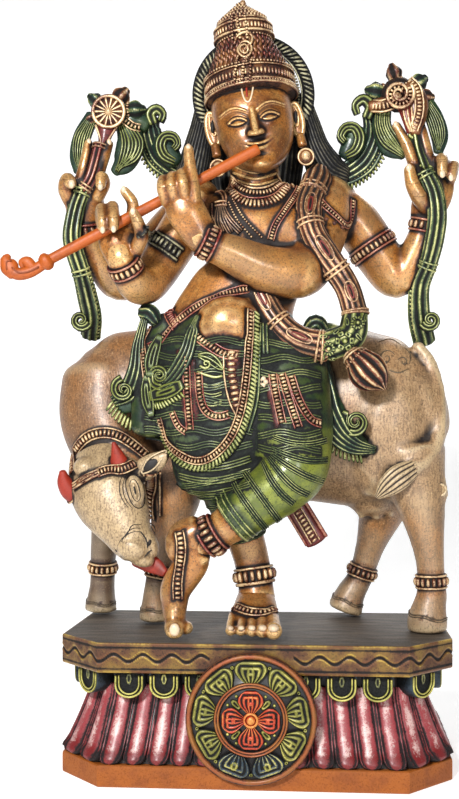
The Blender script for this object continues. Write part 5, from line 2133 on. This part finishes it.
PLINTH = "lotus_plinth"
base, rosette_rim, rosette_green, ember = rosette_forms()
for name, mesh, paint in (("slab_edge", slab_edge(), EDGE), ("slab_top", slab_top(), TOP_PAINT),
                          ("foot_band", foot_band(), FOOT), ("plinth_neck", neck_forms(), DARK_GROUND),
                          ("petals", petals(), ROSE), ("tongues", tongues().mesh("tongues"), TONGUE),
                          ("rosette_ground", base.mesh("rosette_ground"), DARK_GROUND),
                          ("rosette_rim", rosette_rim.mesh("rosette_rim"), RIM),
                          ("rosette_petals", rosette_green.mesh("rosette_petals"), TONGUE),
                          ("rosette_flower", ember.mesh("rosette_flower"), EMBER)):
    shown(name, mesh, paint, PLINTH)


# The camera at the photograph's angle, the lights and the floor.
CAMERA_AWAY = 1.247
CAMERA_HEIGHT = 0.3846
PICTURE_HEIGHT = 799
LENS_SHARE = 1021.7 / PICTURE_HEIGHT
SHIFT = (-29 / PICTURE_HEIGHT, 45 / PICTURE_HEIGHT)
SENSOR_HEIGHT = 36
LIT_SPOT = (0, 0, 0.45)


def add_camera():
    """An upright camera, level with the figure's knees, that looks at its turned front."""
    camera = bpy.data.cameras.new("camera")
    camera.sensor_fit = "VERTICAL"
    camera.sensor_height = SENSOR_HEIGHT
    camera.lens = SENSOR_HEIGHT * LENS_SHARE
    camera.shift_x, camera.shift_y = SHIFT
    camera.clip_start = 0.05
    holder = bpy.data.objects.new("camera", camera)
    bpy.context.scene.collection.objects.link(holder)
    holder.location = (CAMERA_AWAY * math.sin(FIGURE_TURN), -CAMERA_AWAY * math.cos(FIGURE_TURN),
                       CAMERA_HEIGHT)
    holder.rotation_euler = (math.radians(90), 0, FIGURE_TURN)
    bpy.context.scene.camera = holder


def add_light(name, spot, size, watts):
    """A round lamp turned to the statue's middle."""
    lamp = bpy.data.lights.new(name, "AREA")
    lamp.shape = "DISK"
    lamp.size = size
    lamp.energy = watts
    holder = bpy.data.objects.new(name, lamp)
    bpy.context.scene.collection.objects.link(holder)
    holder.location = spot
    way = Vector(LIT_SPOT) - Vector(spot)
    holder.rotation_euler = way.to_track_quat("-Z", "Y").to_euler()


def add_floor():
    """A pale sheet that runs under the statue and curves up behind it."""
    profile = [(-4.0, 0.0), (1.2, 0.0)]
    profile += [(1.2 + 0.8 * math.sin(a), 0.8 - 0.8 * math.cos(a))
                for a in np.linspace(0, math.pi / 2, 12)[1:]]
    profile += [(2.0, 4.0)]
    places, faces = [], []
    for y, z in profile:
        places += [(-5.0, y, z), (5.0, y, z)]
    for i in range(len(profile) - 1):
        faces.append((2 * i, 2 * i + 1, 2 * i + 3, 2 * i + 2))
    mesh = bpy.data.meshes.new("pale_sheet")
    mesh.from_pydata(places, [], faces)
    mesh.shade_smooth()
    sheet = bpy.data.objects.new("pale_sheet", mesh)
    bpy.context.scene.collection.objects.link(sheet)
    paint = Paint("pale_paper")
    grain = paint.noise(30, 2)
    colour = paint.mix(grain * 0.3, shade(250, 250, 250), shade(244, 244, 244))
    material = paint.coat(colour, 0.8)
    paint.shader.inputs["Emission Color"].default_value = (1, 1, 1, 1)
    paint.shader.inputs["Emission Strength"].default_value = 0.4
    mesh.materials.append(material)


add_camera()
add_floor()
add_light("key", (-0.5, -1.9, 1.3), 0.32, 54)
add_light("fill", (0.7, -1.9, 0.7), 0.35, 10)
add_light("rim", (0.6, 1.3, 1.9), 0.8, 10)
world = bpy.data.worlds.new("studio")
world.use_nodes = True
world.node_tree.nodes["Background"].inputs["Color"].default_value = (1, 1, 1, 1)
world.node_tree.nodes["Background"].inputs["Strength"].default_value = 0.09
bpy.context.scene.world = world
bpy.context.scene.view_settings.view_transform = "Standard"
